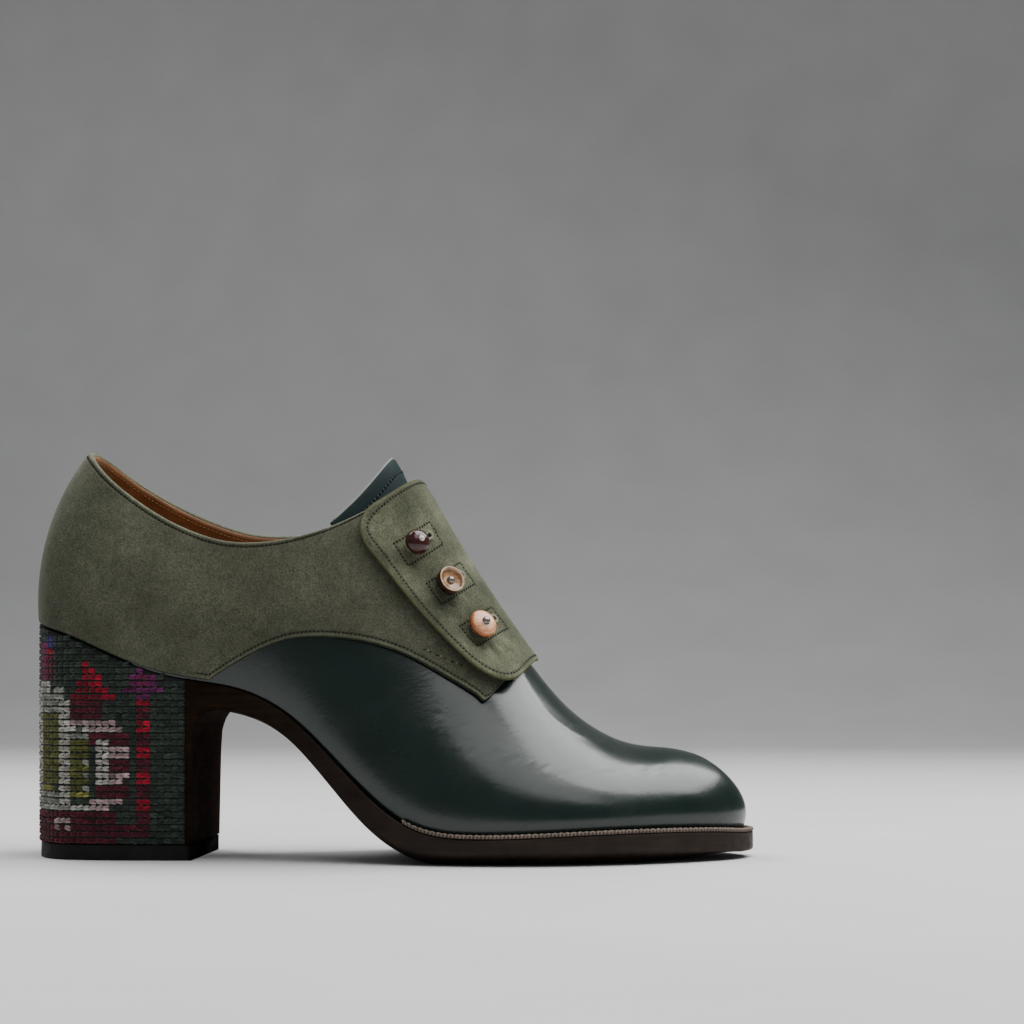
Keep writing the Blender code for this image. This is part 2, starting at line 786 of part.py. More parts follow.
def button_frame(row):
    """Matrix with z out of the flap at the button and x across the flap, and surface lift."""
    along = leaned(row.along, row.across)
    u, t = pattern_place(along, row.across)
    out = Vector(last_normal(np.array(u), np.array(t)))
    seat = Vector(on_last(np.array(u), np.array(t)))
    higher = Vector(pattern_point(along, row.across - 0.002, 0.0))
    across = (higher - seat).normalized()
    across = (across - out * across.dot(out)).normalized()
    side = out.cross(across)
    turn = Matrix((across, side, out)).transposed().to_4x4()
    return Matrix.Translation(seat) @ turn


def ball_profile(row, foot, base):
    """Mushroom head: a flattened ball over a straight shank, from crown to foot."""
    crown = base + row.height
    middle = base + row.height * 0.45
    points = []
    for angle in np.radians(np.linspace(90, -60, 9)):
        depth = crown - middle if angle >= 0 else middle - base
        points.append((row.radius * math.cos(angle), middle + depth * math.sin(angle)))
    points[0] = (0.0, crown)
    points.append((BUTTON_SHANK_RADIUS, base))
    points.append((BUTTON_SHANK_RADIUS, foot))
    points.append((0.0, foot))
    return points


def disc_profile(row, foot, base):
    """Dished disc with a rounded rim and a domed back over a straight shank."""
    crown = base + row.height
    rim = 0.16 * row.radius
    dish = crown - 0.10 * row.height
    points = [(0.0, dish), (row.radius - 2.6 * rim, dish)]
    for angle in np.radians([125, 90, 45, 0, -40]):
        points.append((row.radius - rim + rim * math.cos(angle),
                       crown - rim + rim * math.sin(angle)))
    points.append((0.55 * row.radius, base + 0.15 * row.height))
    points.append((BUTTON_SHANK_RADIUS, base))
    points.append((BUTTON_SHANK_RADIUS, foot))
    points.append((0.0, foot))
    return points


def add_turned(shoe, name, profile, material, frame):
    """Solid turned about the frame's z from a profile that runs down its outer side."""
    mesh = bmesh.new()
    verts = [mesh.verts.new((radius, 0.0, z)) for radius, z in profile]
    for pair in zip(verts, verts[1:]):
        mesh.edges.new(pair)
    piece = shoe.add(name, mesh, material, frame)
    turn = piece.modifiers.new("turn", "SCREW")
    turn.axis = "Z"
    turn.steps = TURN_STEPS
    turn.render_steps = TURN_STEPS
    turn.use_merge_vertices = True
    turn.merge_threshold = 1e-6


def cut_buttonhole(shoe, flap, row):
    """Slot from the shank towards the ridge."""
    size = (BUTTONHOLE_LENGTH, BUTTONHOLE_WIDTH, 0.02)
    mesh = bmesh.new()
    bmesh.ops.create_cube(mesh, size=1.0)
    bmesh.ops.scale(mesh, vec=size, verts=mesh.verts)
    shift = BUTTONHOLE_LENGTH / 2 - BUTTONHOLE_WIDTH / 2
    bmesh.ops.translate(mesh, vec=(shift, 0, 0), verts=mesh.verts)
    cutter = shoe.add_cutter(row.name + "_hole", mesh, button_frame(row))
    cut = flap.modifiers.new("buttonhole", "BOOLEAN")
    cut.operation = "DIFFERENCE"
    cut.object = cutter


def build_buttons(shoe, flap):
    base = FLAP_INSIDE + FLAP_WALL + BUTTON_STAND
    for row in BUTTONS:
        frame = button_frame(row)
        material = new_material(row.name, row.colour, 0.3)
        profile = disc_profile if row.name in PINNED_BUTTONS else ball_profile
        add_turned(shoe, row.name, profile(row, FLAP_INSIDE, base), material, frame)
        if row.name in PINNED_BUTTONS:
            dish = base + 0.90 * row.height + GAP
            pin = [(0.0, dish + PIN_HEIGHT), (0.7 * PIN_RADIUS, dish + 0.8 * PIN_HEIGHT),
                   (PIN_RADIUS, dish + 0.3 * PIN_HEIGHT), (PIN_RADIUS, dish), (0.0, dish)]
            metal = new_material(row.name + "_pin", (0.02, 0.015, 0.012), 0.35, 0.6)
            add_turned(shoe, row.name + "_pin", pin, metal, frame)
        cut_buttonhole(shoe, flap, row)


def main():
    clear_scene()
    shoe = Shoe()
    build_upper(shoe)
    build_quarters(shoe)
    flap = build_flap(shoe)
    build_tongue(shoe)
    build_outsole(shoe)
    build_welt(shoe)
    build_insole(shoe)
    build_heel(shoe)
    build_lift(shoe)
    build_buttons(shoe, flap)


main()
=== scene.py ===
"""Looks of the right-foot block heel shoe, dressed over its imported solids.

All lengths are metres. A place on the last is given by u and t: u counts the stations of LAST
round the feather line, from the heel back along the outer side to the toe and home along the
inner side, and t runs up the wall from feather line to ridge. A place on the flat pattern of
flap and tongue is a distance along the ridge and a distance across from it.
"""

import math
from typing import NamedTuple

import bmesh
import bpy
import numpy as np
from mathutils import Matrix, Vector
from mathutils.kdtree import KDTree


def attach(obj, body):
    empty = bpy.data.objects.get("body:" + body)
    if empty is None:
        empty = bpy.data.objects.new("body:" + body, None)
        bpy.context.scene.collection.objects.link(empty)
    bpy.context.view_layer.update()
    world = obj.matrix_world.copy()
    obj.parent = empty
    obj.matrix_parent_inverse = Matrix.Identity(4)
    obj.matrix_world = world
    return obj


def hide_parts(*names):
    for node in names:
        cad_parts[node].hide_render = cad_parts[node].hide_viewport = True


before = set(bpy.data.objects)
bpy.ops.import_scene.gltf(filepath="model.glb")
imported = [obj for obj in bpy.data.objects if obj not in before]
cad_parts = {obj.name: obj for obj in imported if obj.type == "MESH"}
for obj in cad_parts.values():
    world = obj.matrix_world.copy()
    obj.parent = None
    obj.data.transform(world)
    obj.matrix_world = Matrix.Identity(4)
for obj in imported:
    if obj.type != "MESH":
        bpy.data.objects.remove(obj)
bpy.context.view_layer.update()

# Sizes shared with the solids
LENGTH = 0.2468
BALL_WIDTH = 0.080
HEEL_HEIGHT = 0.080
INSTEP_HEIGHT = 0.127
GAP = 0.0003
UPPER_WALL = 0.0014
QUARTER_WALL = 0.0012
FLAP_WALL = 0.0015
TONGUE_WALL = 0.0014
INSOLE_WALL = 0.0028
WELT_WALL = 0.0011
FLAP_INSIDE = QUARTER_WALL + 2 * GAP
FLAP_OUTSIDE = FLAP_INSIDE + FLAP_WALL
QUARTER_OUTSIDE = GAP + QUARTER_WALL
HEEL_FRONT = 0.0570
HEEL_TAPER = 0.90
HEEL_BACK_INSET = 0.0012
LIFT_HEIGHT = 0.0053
LIFT_INSET = 0.0008
BREAST_WALL = 0.0021
LIFT_FRONT = HEEL_FRONT + GAP + BREAST_WALL
BEND_LENGTH = 0.012
SHANK = (2.0, 6.0)
THROAT = (4.0, 8.0)
COLLAR_STEP = 0.0006
INNER_COLLAR_RISE = 0.0060
INNER_COLLAR_SKEW = 0.85
QUARTER_FOOT = 0.010
QUARTER_FACING = 0.84
QUARTER_FRONT_SPAN = 0.25
QUARTER_FRONT_SLOPE = 0.72
FLAP_LENGTH = 0.0740
FLAP_TOP_WIDTH = 0.0415
FLAP_FOOT_WIDTH = 0.0325
FLAP_INNER_WIDTH = 0.0165
FLAP_LEAN = 8.0
TONGUE_ABOVE = 0.0115
TONGUE_BELOW = 0.0230
TONGUE_HALF_WIDTH = 0.0450
TONGUE_DROP = 0.0095
BUTTON_STAND = 0.0009
BUTTON_SHANK_RADIUS = 0.0012
WELT_START = 6.9
BREAST_STATION = 3

# Sizes of the looks alone
VAMP_WALL = 0.0007
LINING_OUTSIDE = -0.00072
COLLAR_INSIDE = -0.00066
VAMP_START = 2.70
VAMP_LAP = 0.055
FLAP_SPREAD = 0.0012
FLAP_TOP_ROUND = 0.0140
FLAP_FOOT_ROUND = 0.0115
FLAP_FOOT_LEAN = 5.0
FLAP_FOOT_FROM = 0.062
FLAP_LIFT = 0.0021
FLAP_LIFT_SPAN = 0.0095
FRONT_CURVE = 1.7
TIP_SOFT = 0.012
TIP_SPAN = 0.10
TONGUE_RISE = 0.0010
WELD = 2e-6
UP = np.array([0.0, 0.0, 1.0])
INWARD = np.array([0.0, 1.0, 0.0])
WHITE = (1.0, 1.0, 1.0, 1.0)


class Station(NamedTuple):
    """One section of the last, in percent of LENGTH, BALL_WIDTH, HEEL_HEIGHT or INSTEP_HEIGHT."""
    name: str
    x: float
    outer: float
    inner: float
    seat: float
    ridge_x: float
    ridge_y: float
    ridge_z: float
    flare_out: float
    flare_in: float
    rise: float
    spread: float
    crest: float


LAST = (
    Station("heel back", 0.85, 0.0, 0.0, 100.0, 20.5, 0.0, 129.9, 3.8, 3.8, 27.6, 44.0, -15.7),
    Station("heel round", 2.9, 21.9, 21.9, 97.0, 21.7, 0.0, 129.9, 5.0, 5.0, 26.8, 42.5, -14.2),
    Station("heel side", 8.0, 33.1, 32.5, 91.8, 25.0, 0.0, 129.9, 6.2, 6.2, 25.2, 25.0, -11.0),
    Station("breast", 18.6, 35.0, 33.1, 78.5, 31.6, 0.0, 128.7, 7.5, 8.8, 23.6, 27.5, -4.7),
    Station("shank rear", 28.4, 33.8, 28.8, 72.8, 40.5, 1.2, 124.4, 8.8, 12.5, 23.6, 30.0, -1.6),
    Station("waist", 37.3, 35.6, 26.9, 60.2, 49.8, 2.5, 109.8, 8.8, 13.8, 24.4, 31.0, 0.0),
    Station("shank front", 46.2, 41.9, 29.4, 34.1, 57.1, 3.8, 87.3, 7.5, 13.0, 22.8, 28.8, 0.0),
    Station("joint rear", 54.3, 48.1, 36.9, 15.2, 63.8, 4.4, 66.9, 7.5, 10.6, 18.1, 30.0, 0.0),
    Station("ball", 62.8, 51.9, 45.0, 11.1, 69.8, 4.4, 50.6, 7.5, 8.8, 14.2, 31.2, 0.0),
    Station("tread", 72.1, 50.6, 48.1, 11.8, 75.6, 4.4, 38.1, 7.5, 7.5, 11.0, 32.5, 0.0),
    Station("toe box", 81.8, 42.5, 43.8, 12.8, 82.3, 4.0, 30.7, 7.5, 7.5, 8.7, 30.0, 0.0),
    Station("toe side", 90.5, 28.1, 33.8, 12.8, 88.0, 3.8, 29.1, 6.9, 6.9, 7.9, 22.5, 0.0),
    Station("toe round", 96.2, 13.1, 19.4, 12.0, 91.4, 3.8, 27.9, 6.2, 6.2, 7.5, 18.1, 0.0),
    Station("toe tip", 98.6, -3.8, 3.8, 11.1, 92.2, 3.8, 27.4, 6.8, 6.8, 7.5, 17.5, 0.0),
)
TOE = len(LAST) - 1
ROUND = 2 * TOE


class SoleRow(NamedTuple):
    """Outsole at one station of LAST."""
    side: float
    drop: float
    overhang: float
    inset: float


SOLE = (
    SoleRow(0.0075, 0.0010, 0.0013, 0.0050),
    SoleRow(0.0075, 0.0010, 0.0013, 0.0050),
    SoleRow(0.0073, 0.0010, 0.0014, 0.0050),
    SoleRow(0.0096, 0.0018, 0.0018, 0.0065),
    SoleRow(0.0070, 0.0032, 0.0028, 0.0090),
    SoleRow(0.0049, 0.0050, 0.0034, 0.0100),
    SoleRow(0.0050, 0.0050, 0.0034, 0.0100),
    SoleRow(0.0056, 0.0050, 0.0034, 0.0100),
    SoleRow(0.0061, 0.0030, 0.0035, 0.0090),
    SoleRow(0.0062, 0.0014, 0.0037, 0.0080),
    SoleRow(0.0061, 0.0005, 0.0039, 0.0080),
)


class BendRow(NamedTuple):
    """Outsole section where it turns down over the heel breast, seen from the side."""
    ahead: float
    under: float
    reach: float
    fall: float


BREAST_BEND = (
    BendRow(0.0080, 0.0000, 0.0095, 0.0102),
    BendRow(0.0040, 0.0000, 0.0062, 0.0110),
    BendRow(0.0000, 0.0000, 0.0036, 0.0140),
    BendRow(0.0000, 0.0080, 0.0024, 0.0180),
    BendRow(0.0000, 0.0240, 0.0021, 0.0260),
)


class EdgeRow(NamedTuple):
    """A point of an edge seen from the side: x in percent of LENGTH, z of INSTEP_HEIGHT."""
    x: float
    z: float


COLLAR = (
    EdgeRow(7.3, 110.0),
    EdgeRow(11.6, 101.4),
    EdgeRow(16.3, 94.3),
    EdgeRow(22.4, 87.6),
    EdgeRow(28.2, 83.9),
    EdgeRow(33.8, 83.6),
    EdgeRow(39.3, 85.6),
    EdgeRow(43.9, 88.9),
    EdgeRow(48.6, 94.1),
    EdgeRow(53.0, 100.1),
)

SCALLOP = (
    EdgeRow(22.7, 41.0),
    EdgeRow(25.9, 46.5),
    EdgeRow(30.0, 51.7),
    EdgeRow(36.6, 57.4),
    EdgeRow(43.7, 58.1),
    EdgeRow(51.5, 54.8),
    EdgeRow(59.2, 46.9),
    EdgeRow(63.7, 41.5),
)


class ButtonRow(NamedTuple):
    """A button: its place on the flap pattern and its head."""
    name: str
    along: float
    across: float
    radius: float
    height: float


BUTTONS = (
    ButtonRow("button_top", 0.0191, 0.0248, 0.0044, 0.0062),
    ButtonRow("button_middle", 0.0366, 0.0222, 0.0048, 0.0042),
    ButtonRow("button_bottom", 0.0554, 0.0217, 0.0050, 0.0040),
)


# Curves through tables

def cubic(start, stop, leaving, arriving, f):
    """Curve from start to stop at the share f of its way, with given slopes at its ends."""
    return (start * (1 + 2 * f) * (1 - f) ** 2 + leaving * f * (1 - f) ** 2
            + stop * f * f * (3 - 2 * f) + arriving * f * f * (f - 1))


def closed_curve(knots):
    """Smooth closed curve through evenly numbered knots, as a function of the knot number."""
    knots = np.asarray(knots, float)
    count = len(knots)
    same = np.eye(count)
    system = 4 * same + np.roll(same, 1, axis=1) + np.roll(same, -1, axis=1)
    slopes = np.linalg.solve(system, 3 * (np.roll(knots, -1, 0) - np.roll(knots, 1, 0)))

    def at(number):
        number = np.asarray(number, float)
        first = np.floor(number).astype(int) % count
        second = (first + 1) % count
        f = (number - np.floor(number))[..., None]
        return cubic(knots[first], knots[second], slopes[first], slopes[second], f)

    return at


def edge_height(rows, x):
    """Height of a side-view edge at x, carried on straight past both ends of its table."""
    xs = np.array([row.x for row in rows]) * LENGTH / 100
    zs = np.array([row.z for row in rows]) * INSTEP_HEIGHT / 100
    slopes = np.gradient(zs, xs)
    i = np.clip(np.searchsorted(xs, x) - 1, 0, len(xs) - 2)
    span = xs[i + 1] - xs[i]
    f = (x - xs[i]) / span
    inside = cubic(zs[i], zs[i + 1], slopes[i] * span, slopes[i + 1] * span, f)
    before = zs[0] + slopes[0] * (x - xs[0])
    after = zs[-1] + slopes[-1] * (x - xs[-1])
    return np.where(f < 0, before, np.where(f > 1, after, inside))


def round_the_last(column):
    """Knots of a column for the outer side, then for the inner side back to the heel."""
    return [column(row, -1) for row in LAST] + [column(row, 1) for row in LAST[-2:0:-1]]


def feather_knot(row, side):
    """Point of the feather line."""
    y = row.inner if side > 0 else -row.outer
    return (row.x * LENGTH / 100, y * BALL_WIDTH / 100, row.seat * HEEL_HEIGHT / 100)


def ridge_knot(row, side):
    """Point of the ridge, the same for both sides."""
    return (row.ridge_x * LENGTH / 100, row.ridge_y * BALL_WIDTH / 100,
            row.ridge_z * INSTEP_HEIGHT / 100)


def wall_knot(row, side):
    """Flare, rise, spread and crest that shape the wall."""
    flare = row.flare_in if side > 0 else row.flare_out
    return (flare * BALL_WIDTH / 100, row.rise * INSTEP_HEIGHT / 100,
            row.spread * BALL_WIDTH / 100, row.crest * INSTEP_HEIGHT / 100)


feather = closed_curve(round_the_last(feather_knot))
ridge = closed_curve(round_the_last(ridge_knot))
wall = closed_curve(round_the_last(wall_knot))
sole_rows = [SOLE[0]] * BREAST_STATION + list(SOLE)
sole_at = closed_curve(sole_rows + sole_rows[-2:0:-1])


def smooth_step(value, low, high):
    """Rise from 0 to 1 between low and high, level at both ends."""
    f = np.clip((value - low) / (high - low), 0, 1)
    return f * f * (3 - 2 * f)


def bell(value, width):
    """Hump of height 1 about zero."""
    return np.exp(-(value / width) ** 2)


def unit(vectors):
    """Vectors of length one in the same directions."""
    return vectors / np.linalg.norm(vectors, axis=-1, keepdims=True)


def walked(curve):
    """Length of a curve up to each of its points."""
    return np.concatenate([[0.0], np.cumsum(np.linalg.norm(np.diff(curve, axis=0), axis=1))])


# The last

WALL_HALVINGS = 40
STATION_HALVINGS = 50
COLLAR_LOWEST = 0.25


def both_sides(u):
    """u of a place on the outer side and of its partner on the inner side."""
    return u, ROUND - u


def round_toe(half):
    """Stations of the outer side up to the toe, then their partners back on the inner side."""
    return np.concatenate([half, ROUND - half[-2::-1]])


def plan_normal(u):
    """Unit outward direction of the feather line in plan."""
    step = 1e-3
    along = feather(u + step) - feather(u - step)
    out = np.stack([along[..., 1], -along[..., 0], np.zeros_like(along[..., 0])], -1)
    return unit(out)


SEAT_LINE = feather(np.linspace(0, TOE, 800))


def seat_height(x):
    """Height of the feather line at x, the same on both sides."""
    return np.interp(x, SEAT_LINE[:, 0], SEAT_LINE[:, 2])


def rim_point(u, overhang, lift=0.0):
    """Point outside the feather line by overhang in plan and above its height there by lift."""
    u = np.asarray(u, float)
    point = feather(u) + np.asarray(overhang)[..., None] * plan_normal(u)
    point[..., 2] = seat_height(point[..., 0]) + lift
    return point


def ridge_direction(u):
    """Unit direction of the ridge towards the toe; its two ends take their neighbour's."""
    near = 0.05
    s = np.clip(np.where(u > TOE, ROUND - u, u), near, TOE - near)
    along = ridge(s + near) - ridge(s - near)
    return unit(along)


def on_last(u, t):
    """Point of the bare last."""
    u = np.asarray(u, float) % ROUND
    t = np.asarray(t, float)[..., None]
    flare, rise, spread, crest = np.moveaxis(wall(u)[..., None], -2, 0)
    out = plan_normal(u)
    over = out[..., :1] * ridge_direction(u) + out[..., 1:2] * INWARD
    foot = feather(u)
    top = ridge(u)
    lead = foot + flare * out + rise * UP
    arrive = top + spread * over + crest * UP
    return ((1 - t) ** 3 * foot + 3 * (1 - t) ** 2 * t * lead
            + 3 * (1 - t) * t ** 2 * arrive + t ** 3 * top)


def last_normal(u, t):
    """Unit outward normal of the last."""
    step = 2e-3
    t = np.clip(t, step, 1 - 2 * step)
    along = on_last(u + step, t) - on_last(u - step, t)
    up = on_last(u, t + step) - on_last(u, t - step)
    out = np.cross(along, up)
    return unit(out)


def off_last(u, t, offset):
    """Point at a distance out from the last, or inside it where offset is negative."""
    return on_last(u, t) + last_normal(u, t) * np.asarray(offset)[..., None]


def wall_speed(u, t):
    """Length of wall for each unit of t."""
    step = 1e-3
    t = np.clip(t, step, 1 - step)
    return np.linalg.norm(on_last(u, t + step) - on_last(u, t - step), axis=-1) / (2 * step)


def wall_crossing(u, height, low, high):
    """t at which the wall at u first climbs above the given side-view height, at most 1."""
    below = np.full_like(u, low)
    above = np.full_like(u, high)
    for _ in range(WALL_HALVINGS):
        middle = (below + above) / 2
        point = on_last(u, middle)
        under = point[..., 2] < height(u, point[..., 0])
        below = np.where(under, middle, below)
        above = np.where(under, above, middle)
    return above


def collar_height(u, x):
    """Collar of the suede: higher on the inner side of the ankle."""
    start = COLLAR[0].x * LENGTH / 100
    span = COLLAR[-1].x * LENGTH / 100 - start
    bump = np.sin(math.pi * np.clip((x - start) / span, 0, 1) ** INNER_COLLAR_SKEW)
    return edge_height(COLLAR, x) + np.where(u > TOE, INNER_COLLAR_RISE * bump, 0)


def collar_t(u, drop=0.0):
    """t of the collar, lowered by drop; 1 where the wall ends on the ridge below it."""
    u = np.asarray(u, float) % ROUND
    return wall_crossing(u, lambda v, x: collar_height(v, x) - drop, COLLAR_LOWEST, 1.0)


def scallop_t(u):
    """t of the quarters' scalloped lower edge, never under the foot of the wall."""
    u = np.asarray(u, float) % ROUND
    return np.maximum(wall_crossing(u, lambda v, x: edge_height(SCALLOP, x), 0.0, 1.0),
                      QUARTER_FOOT)


def station_where(test, low, high):
    """u between low and high at which test turns from false to true."""
    for _ in range(STATION_HALVINGS):
        middle = (low + high) / 2
        if test(middle):
            high = middle
        else:
            low = middle
    return high


def ridge_leaves_collar(drop):
    """u at which the ridge comes down to the collar, so the wall closes over the foot."""
    def closed(u):
        top = ridge(u)
        return top[2] < collar_height(u, top[0]) - drop
    return station_where(closed, *THROAT)


def quarter_tip():
    """u and t of the quarter's pointed front corner."""
    tip_x = SCALLOP[-1].x * LENGTH / 100

    def past(u):
        return on_last(np.array(u), scallop_t(np.array(u)))[0] > tip_x

    tip = station_where(past, *THROAT)
    return tip, float(scallop_t(np.array(tip)))


TIP, TIP_T = quarter_tip()
CLOSED_FROM = ridge_leaves_collar(COLLAR_STEP)


def quarter_foot(u):
    """t of the quarters' lower edge: foot of the wall, scallop, soft tip, then the front edge."""
    u = np.abs(u)
    front = TIP_T + QUARTER_FRONT_SLOPE * (u - TIP) + FRONT_CURVE * np.maximum(u - TIP, 0) ** 2
    side = scallop_t(u)
    soft = np.hypot((front - side) / 2, TIP_SOFT) - TIP_SOFT * bell(u - TIP, TIP_SPAN)
    return (front + side) / 2 + soft


def length_middle():
    """x of the middle between the quarters' back and the sole's toe."""
    t = np.linspace(0.0, 1.0, 200)
    back = off_last(np.zeros_like(t), t, QUARTER_OUTSIDE)[:, 0].min()
    front = rim_point(TOE, sole_at(TOE)[2])[0]
    return (back + front) / 2


def side_shift():
    """y of the middle of the sole."""
    u = np.linspace(0, ROUND, 1000)
    edge = feather(u) + plan_normal(u) * sole_at(u)[..., 2:3]
    return (edge[:, 1].min() + edge[:, 1].max()) / 2


SHIFT = np.array([length_middle(), side_shift(), 0.0])


# The flat pattern of flap and tongue

FLAP_TOP = ridge_leaves_collar(0.0)
PATTERN_BACK = 1.5
PATTERN_AHEAD = 4.0
PATTERN_WIDTH = 0.060
PATTERN_U = np.linspace(FLAP_TOP - PATTERN_BACK, FLAP_TOP + PATTERN_AHEAD, 400)
PATTERN_ALONG = walked(ridge(PATTERN_U))
PATTERN_ALONG -= np.interp(FLAP_TOP, PATTERN_U, PATTERN_ALONG)
PATTERN_REACH = np.linspace(0.0, PATTERN_WIDTH, 121)
LAST_CELL = 1.001


def pattern_table(stations):
    """t for each station and each distance from the ridge."""
    falls = np.linspace(1.0, 0.0, 160)
    lines = [on_last(np.full_like(falls, u), falls) for u in stations]
    return np.array([np.interp(PATTERN_REACH, walked(line), falls) for line in lines])


PATTERN_T = [pattern_table(stations) for stations in both_sides(PATTERN_U)]


def pattern_place(along, across):
    """u and t of pattern points; across is negative on the inner side."""
    along, across = np.broadcast_arrays(np.asarray(along, float), np.asarray(across, float))
    u = np.interp(along, PATTERN_ALONG, PATTERN_U)
    row = np.clip((u - PATTERN_U[0]) / (PATTERN_U[1] - PATTERN_U[0]), 0, len(PATTERN_U) - LAST_CELL)
    column = np.clip(np.abs(across) / PATTERN_REACH[1], 0, len(PATTERN_REACH) - LAST_CELL)
    i, j = row.astype(int), column.astype(int)
    f, g = row - i, column - j
    outer, inner = [(1 - f) * ((1 - g) * table[i, j] + g * table[i, j + 1])
                    + f * ((1 - g) * table[i + 1, j] + g * table[i + 1, j + 1])
                    for table in PATTERN_T]
    return np.where(across >= 0, u, ROUND - u), np.where(across >= 0, outer, inner)


def pattern_point(along, across, offset):
    """Point at a distance out from the last, at a place of the pattern."""
    return off_last(*pattern_place(along, across), offset)


def pattern_normal(along, across):
    """Unit outward normal of the last at a place of the pattern."""
    return last_normal(*pattern_place(along, across))


def leaned(along, across):
    """Distance along the ridge of a line that curves back as it goes down the sides."""
    return along - FLAP_LEAN * across ** 2


# Mesh helpers

def strip_faces(rows, columns, wrap_columns=False, start=0):
    """Quads of a grid of points numbered row by row."""
    r = np.arange(rows - 1)[:, None]
    c = np.arange(columns if wrap_columns else columns - 1)[None, :]
    d = (c + 1) % columns
    quads = np.stack([r * columns + c, r * columns + d, (r + 1) * columns + d,
                      (r + 1) * columns + c], -1)
    return (quads.reshape(-1, 4) + start).tolist()


def add_object(name, data):
    """Object of the scene that shows the given data."""
    item = bpy.data.objects.new(name, data)
    bpy.context.scene.collection.objects.link(item)
    return item


def welded_mesh(name, mesh, tint=None):
    """Mesh data of points and faces, its doubles welded; tint is one colour or one for each point."""
    points, faces = mesh
    data = bpy.data.meshes.new(name)
    data.from_pydata((points - SHIFT).tolist(), [], faces)
    if tint is not None:
        layer = data.attributes.new("tint", "FLOAT_COLOR", "POINT")
        colours = np.broadcast_to(np.asarray(tint, np.float32), (len(points), 4))
        layer.data.foreach_set("color", colours.ravel())
    solid = bmesh.new()
    solid.from_mesh(data)
    bmesh.ops.remove_doubles(solid, verts=solid.verts, dist=WELD)
    bmesh.ops.recalc_face_normals(solid, faces=solid.faces)
    solid.to_mesh(data)
    solid.free()
    return data


def add_piece(name, mesh, material, node=None, tint=None):
    """One visible piece of the shoe, riding with its only body."""
    data = welded_mesh(name, mesh, tint)
    data.shade_smooth()
    data.materials.append(material)
    item = add_object(name, data)
    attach(item, "root")
    if node:
        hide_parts(node)
    return item


def shell(outer, inner, wrap_columns=False, open_top=None):
    """Points and faces of a closed skin between two grids; open_top marks columns with a top rim."""
    rows, columns = outer.shape[:2]
    points = np.concatenate([outer.reshape(-1, 3), inner.reshape(-1, 3)])
    behind = rows * columns
    faces = strip_faces(rows, columns, wrap_columns)
    faces += [face[::-1] for face in strip_faces(rows, columns, wrap_columns, behind)]
    last = (rows - 1) * columns
    for c in range(columns if wrap_columns else columns - 1):
        d = (c + 1) % columns
        faces.append([d, c, c + behind, d + behind])
        if open_top is None or open_top[c] or open_top[d]:
            faces.append([last + c, last + d, last + d + behind, last + c + behind])
    if not wrap_columns:
        for r in range(rows - 1):
            low, high = r * columns, (r + 1) * columns
            faces.append([low, high, high + behind, low + behind])
            low, high = low + columns - 1, high + columns - 1
            faces.append([high, low, low + behind, high + behind])
    return points, faces


def capped_faces(count, ring):
    """Faces of a tube of count rings of ring points each, closed at both ends."""
    foot = list(range(ring))[::-1]
    top = [(count - 1) * ring + k for k in range(ring)]
    return strip_faces(count, ring, True) + [foot, top]


def loft(sections):
    """Points and faces through closed sections of equal point count, capped at both ends."""
    sections = np.asarray(sections, float)
    return sections.reshape(-1, 3), capped_faces(*sections.shape[:2])


def round_circle(count):
    """Cosines and sines of even steps round a circle."""
    angles = np.linspace(0, 2 * math.pi, count, endpoint=False)
    return np.cos(angles), np.sin(angles)


def lathe(profile, steps):
    """Points and faces of a solid turned about z from (radius, z) pairs, crown first."""
    profile = np.asarray(profile, float)
    ring = np.stack(round_circle(steps), -1)
    points = np.concatenate([profile[:, None, :1] * ring[None],
                             np.broadcast_to(profile[:, None, 1:], (len(profile), steps, 1))], -1)
    return points.reshape(-1, 3), strip_faces(len(profile), steps, True)


def resample(curve, step, *carried):
    """Curve and carried values at even steps of its length."""
    lengths = walked(curve)
    count = max(2, int(round(lengths[-1] / step)) + 1)
    at = np.linspace(0, lengths[-1], count)
    return [np.stack([np.interp(at, lengths, value[:, k]) for k in range(value.shape[1])], -1)
            for value in (curve, *carried)]


def frames_along(curve, normals):
    """Unit tangent, side and normal at each point of a curve that lies on a surface."""
    tangent = unit(np.gradient(curve, axis=0))
    side = unit(np.cross(normals, tangent))
    return tangent, side, np.cross(tangent, side)


TUBE_SIDES = 8
TUBE_TIP = 0.3


def tube(curve, normals, radius, step):
    """Points and faces of a cord on a surface, thin at both ends."""
    curve, normals = resample(curve, step, normals)
    _, side, out = frames_along(curve, normals)
    size = np.full(len(curve), radius)
    size[[0, -1]] *= TUBE_TIP
    cosine, sine = (value[None, :, None] for value in round_circle(TUBE_SIDES))
    return loft(curve[:, None] + size[:, None, None] * (cosine * side[:, None] + sine * out[:, None]))


STITCH_STEPS = np.array([-1.0, -0.86, -0.45, 0.0, 0.45, 0.86, 1.0])
STITCH_SIDES = 6
STITCH_TAPER = 0.9
YARN_STEPS = np.array([-1.0, -0.75, 0.0, 0.75, 1.0])
YARN_SIDES = 5


class Sewing(NamedTuple):
    """Sizes of the stitches in a row."""
    pitch: float
    length: float
    radius: float


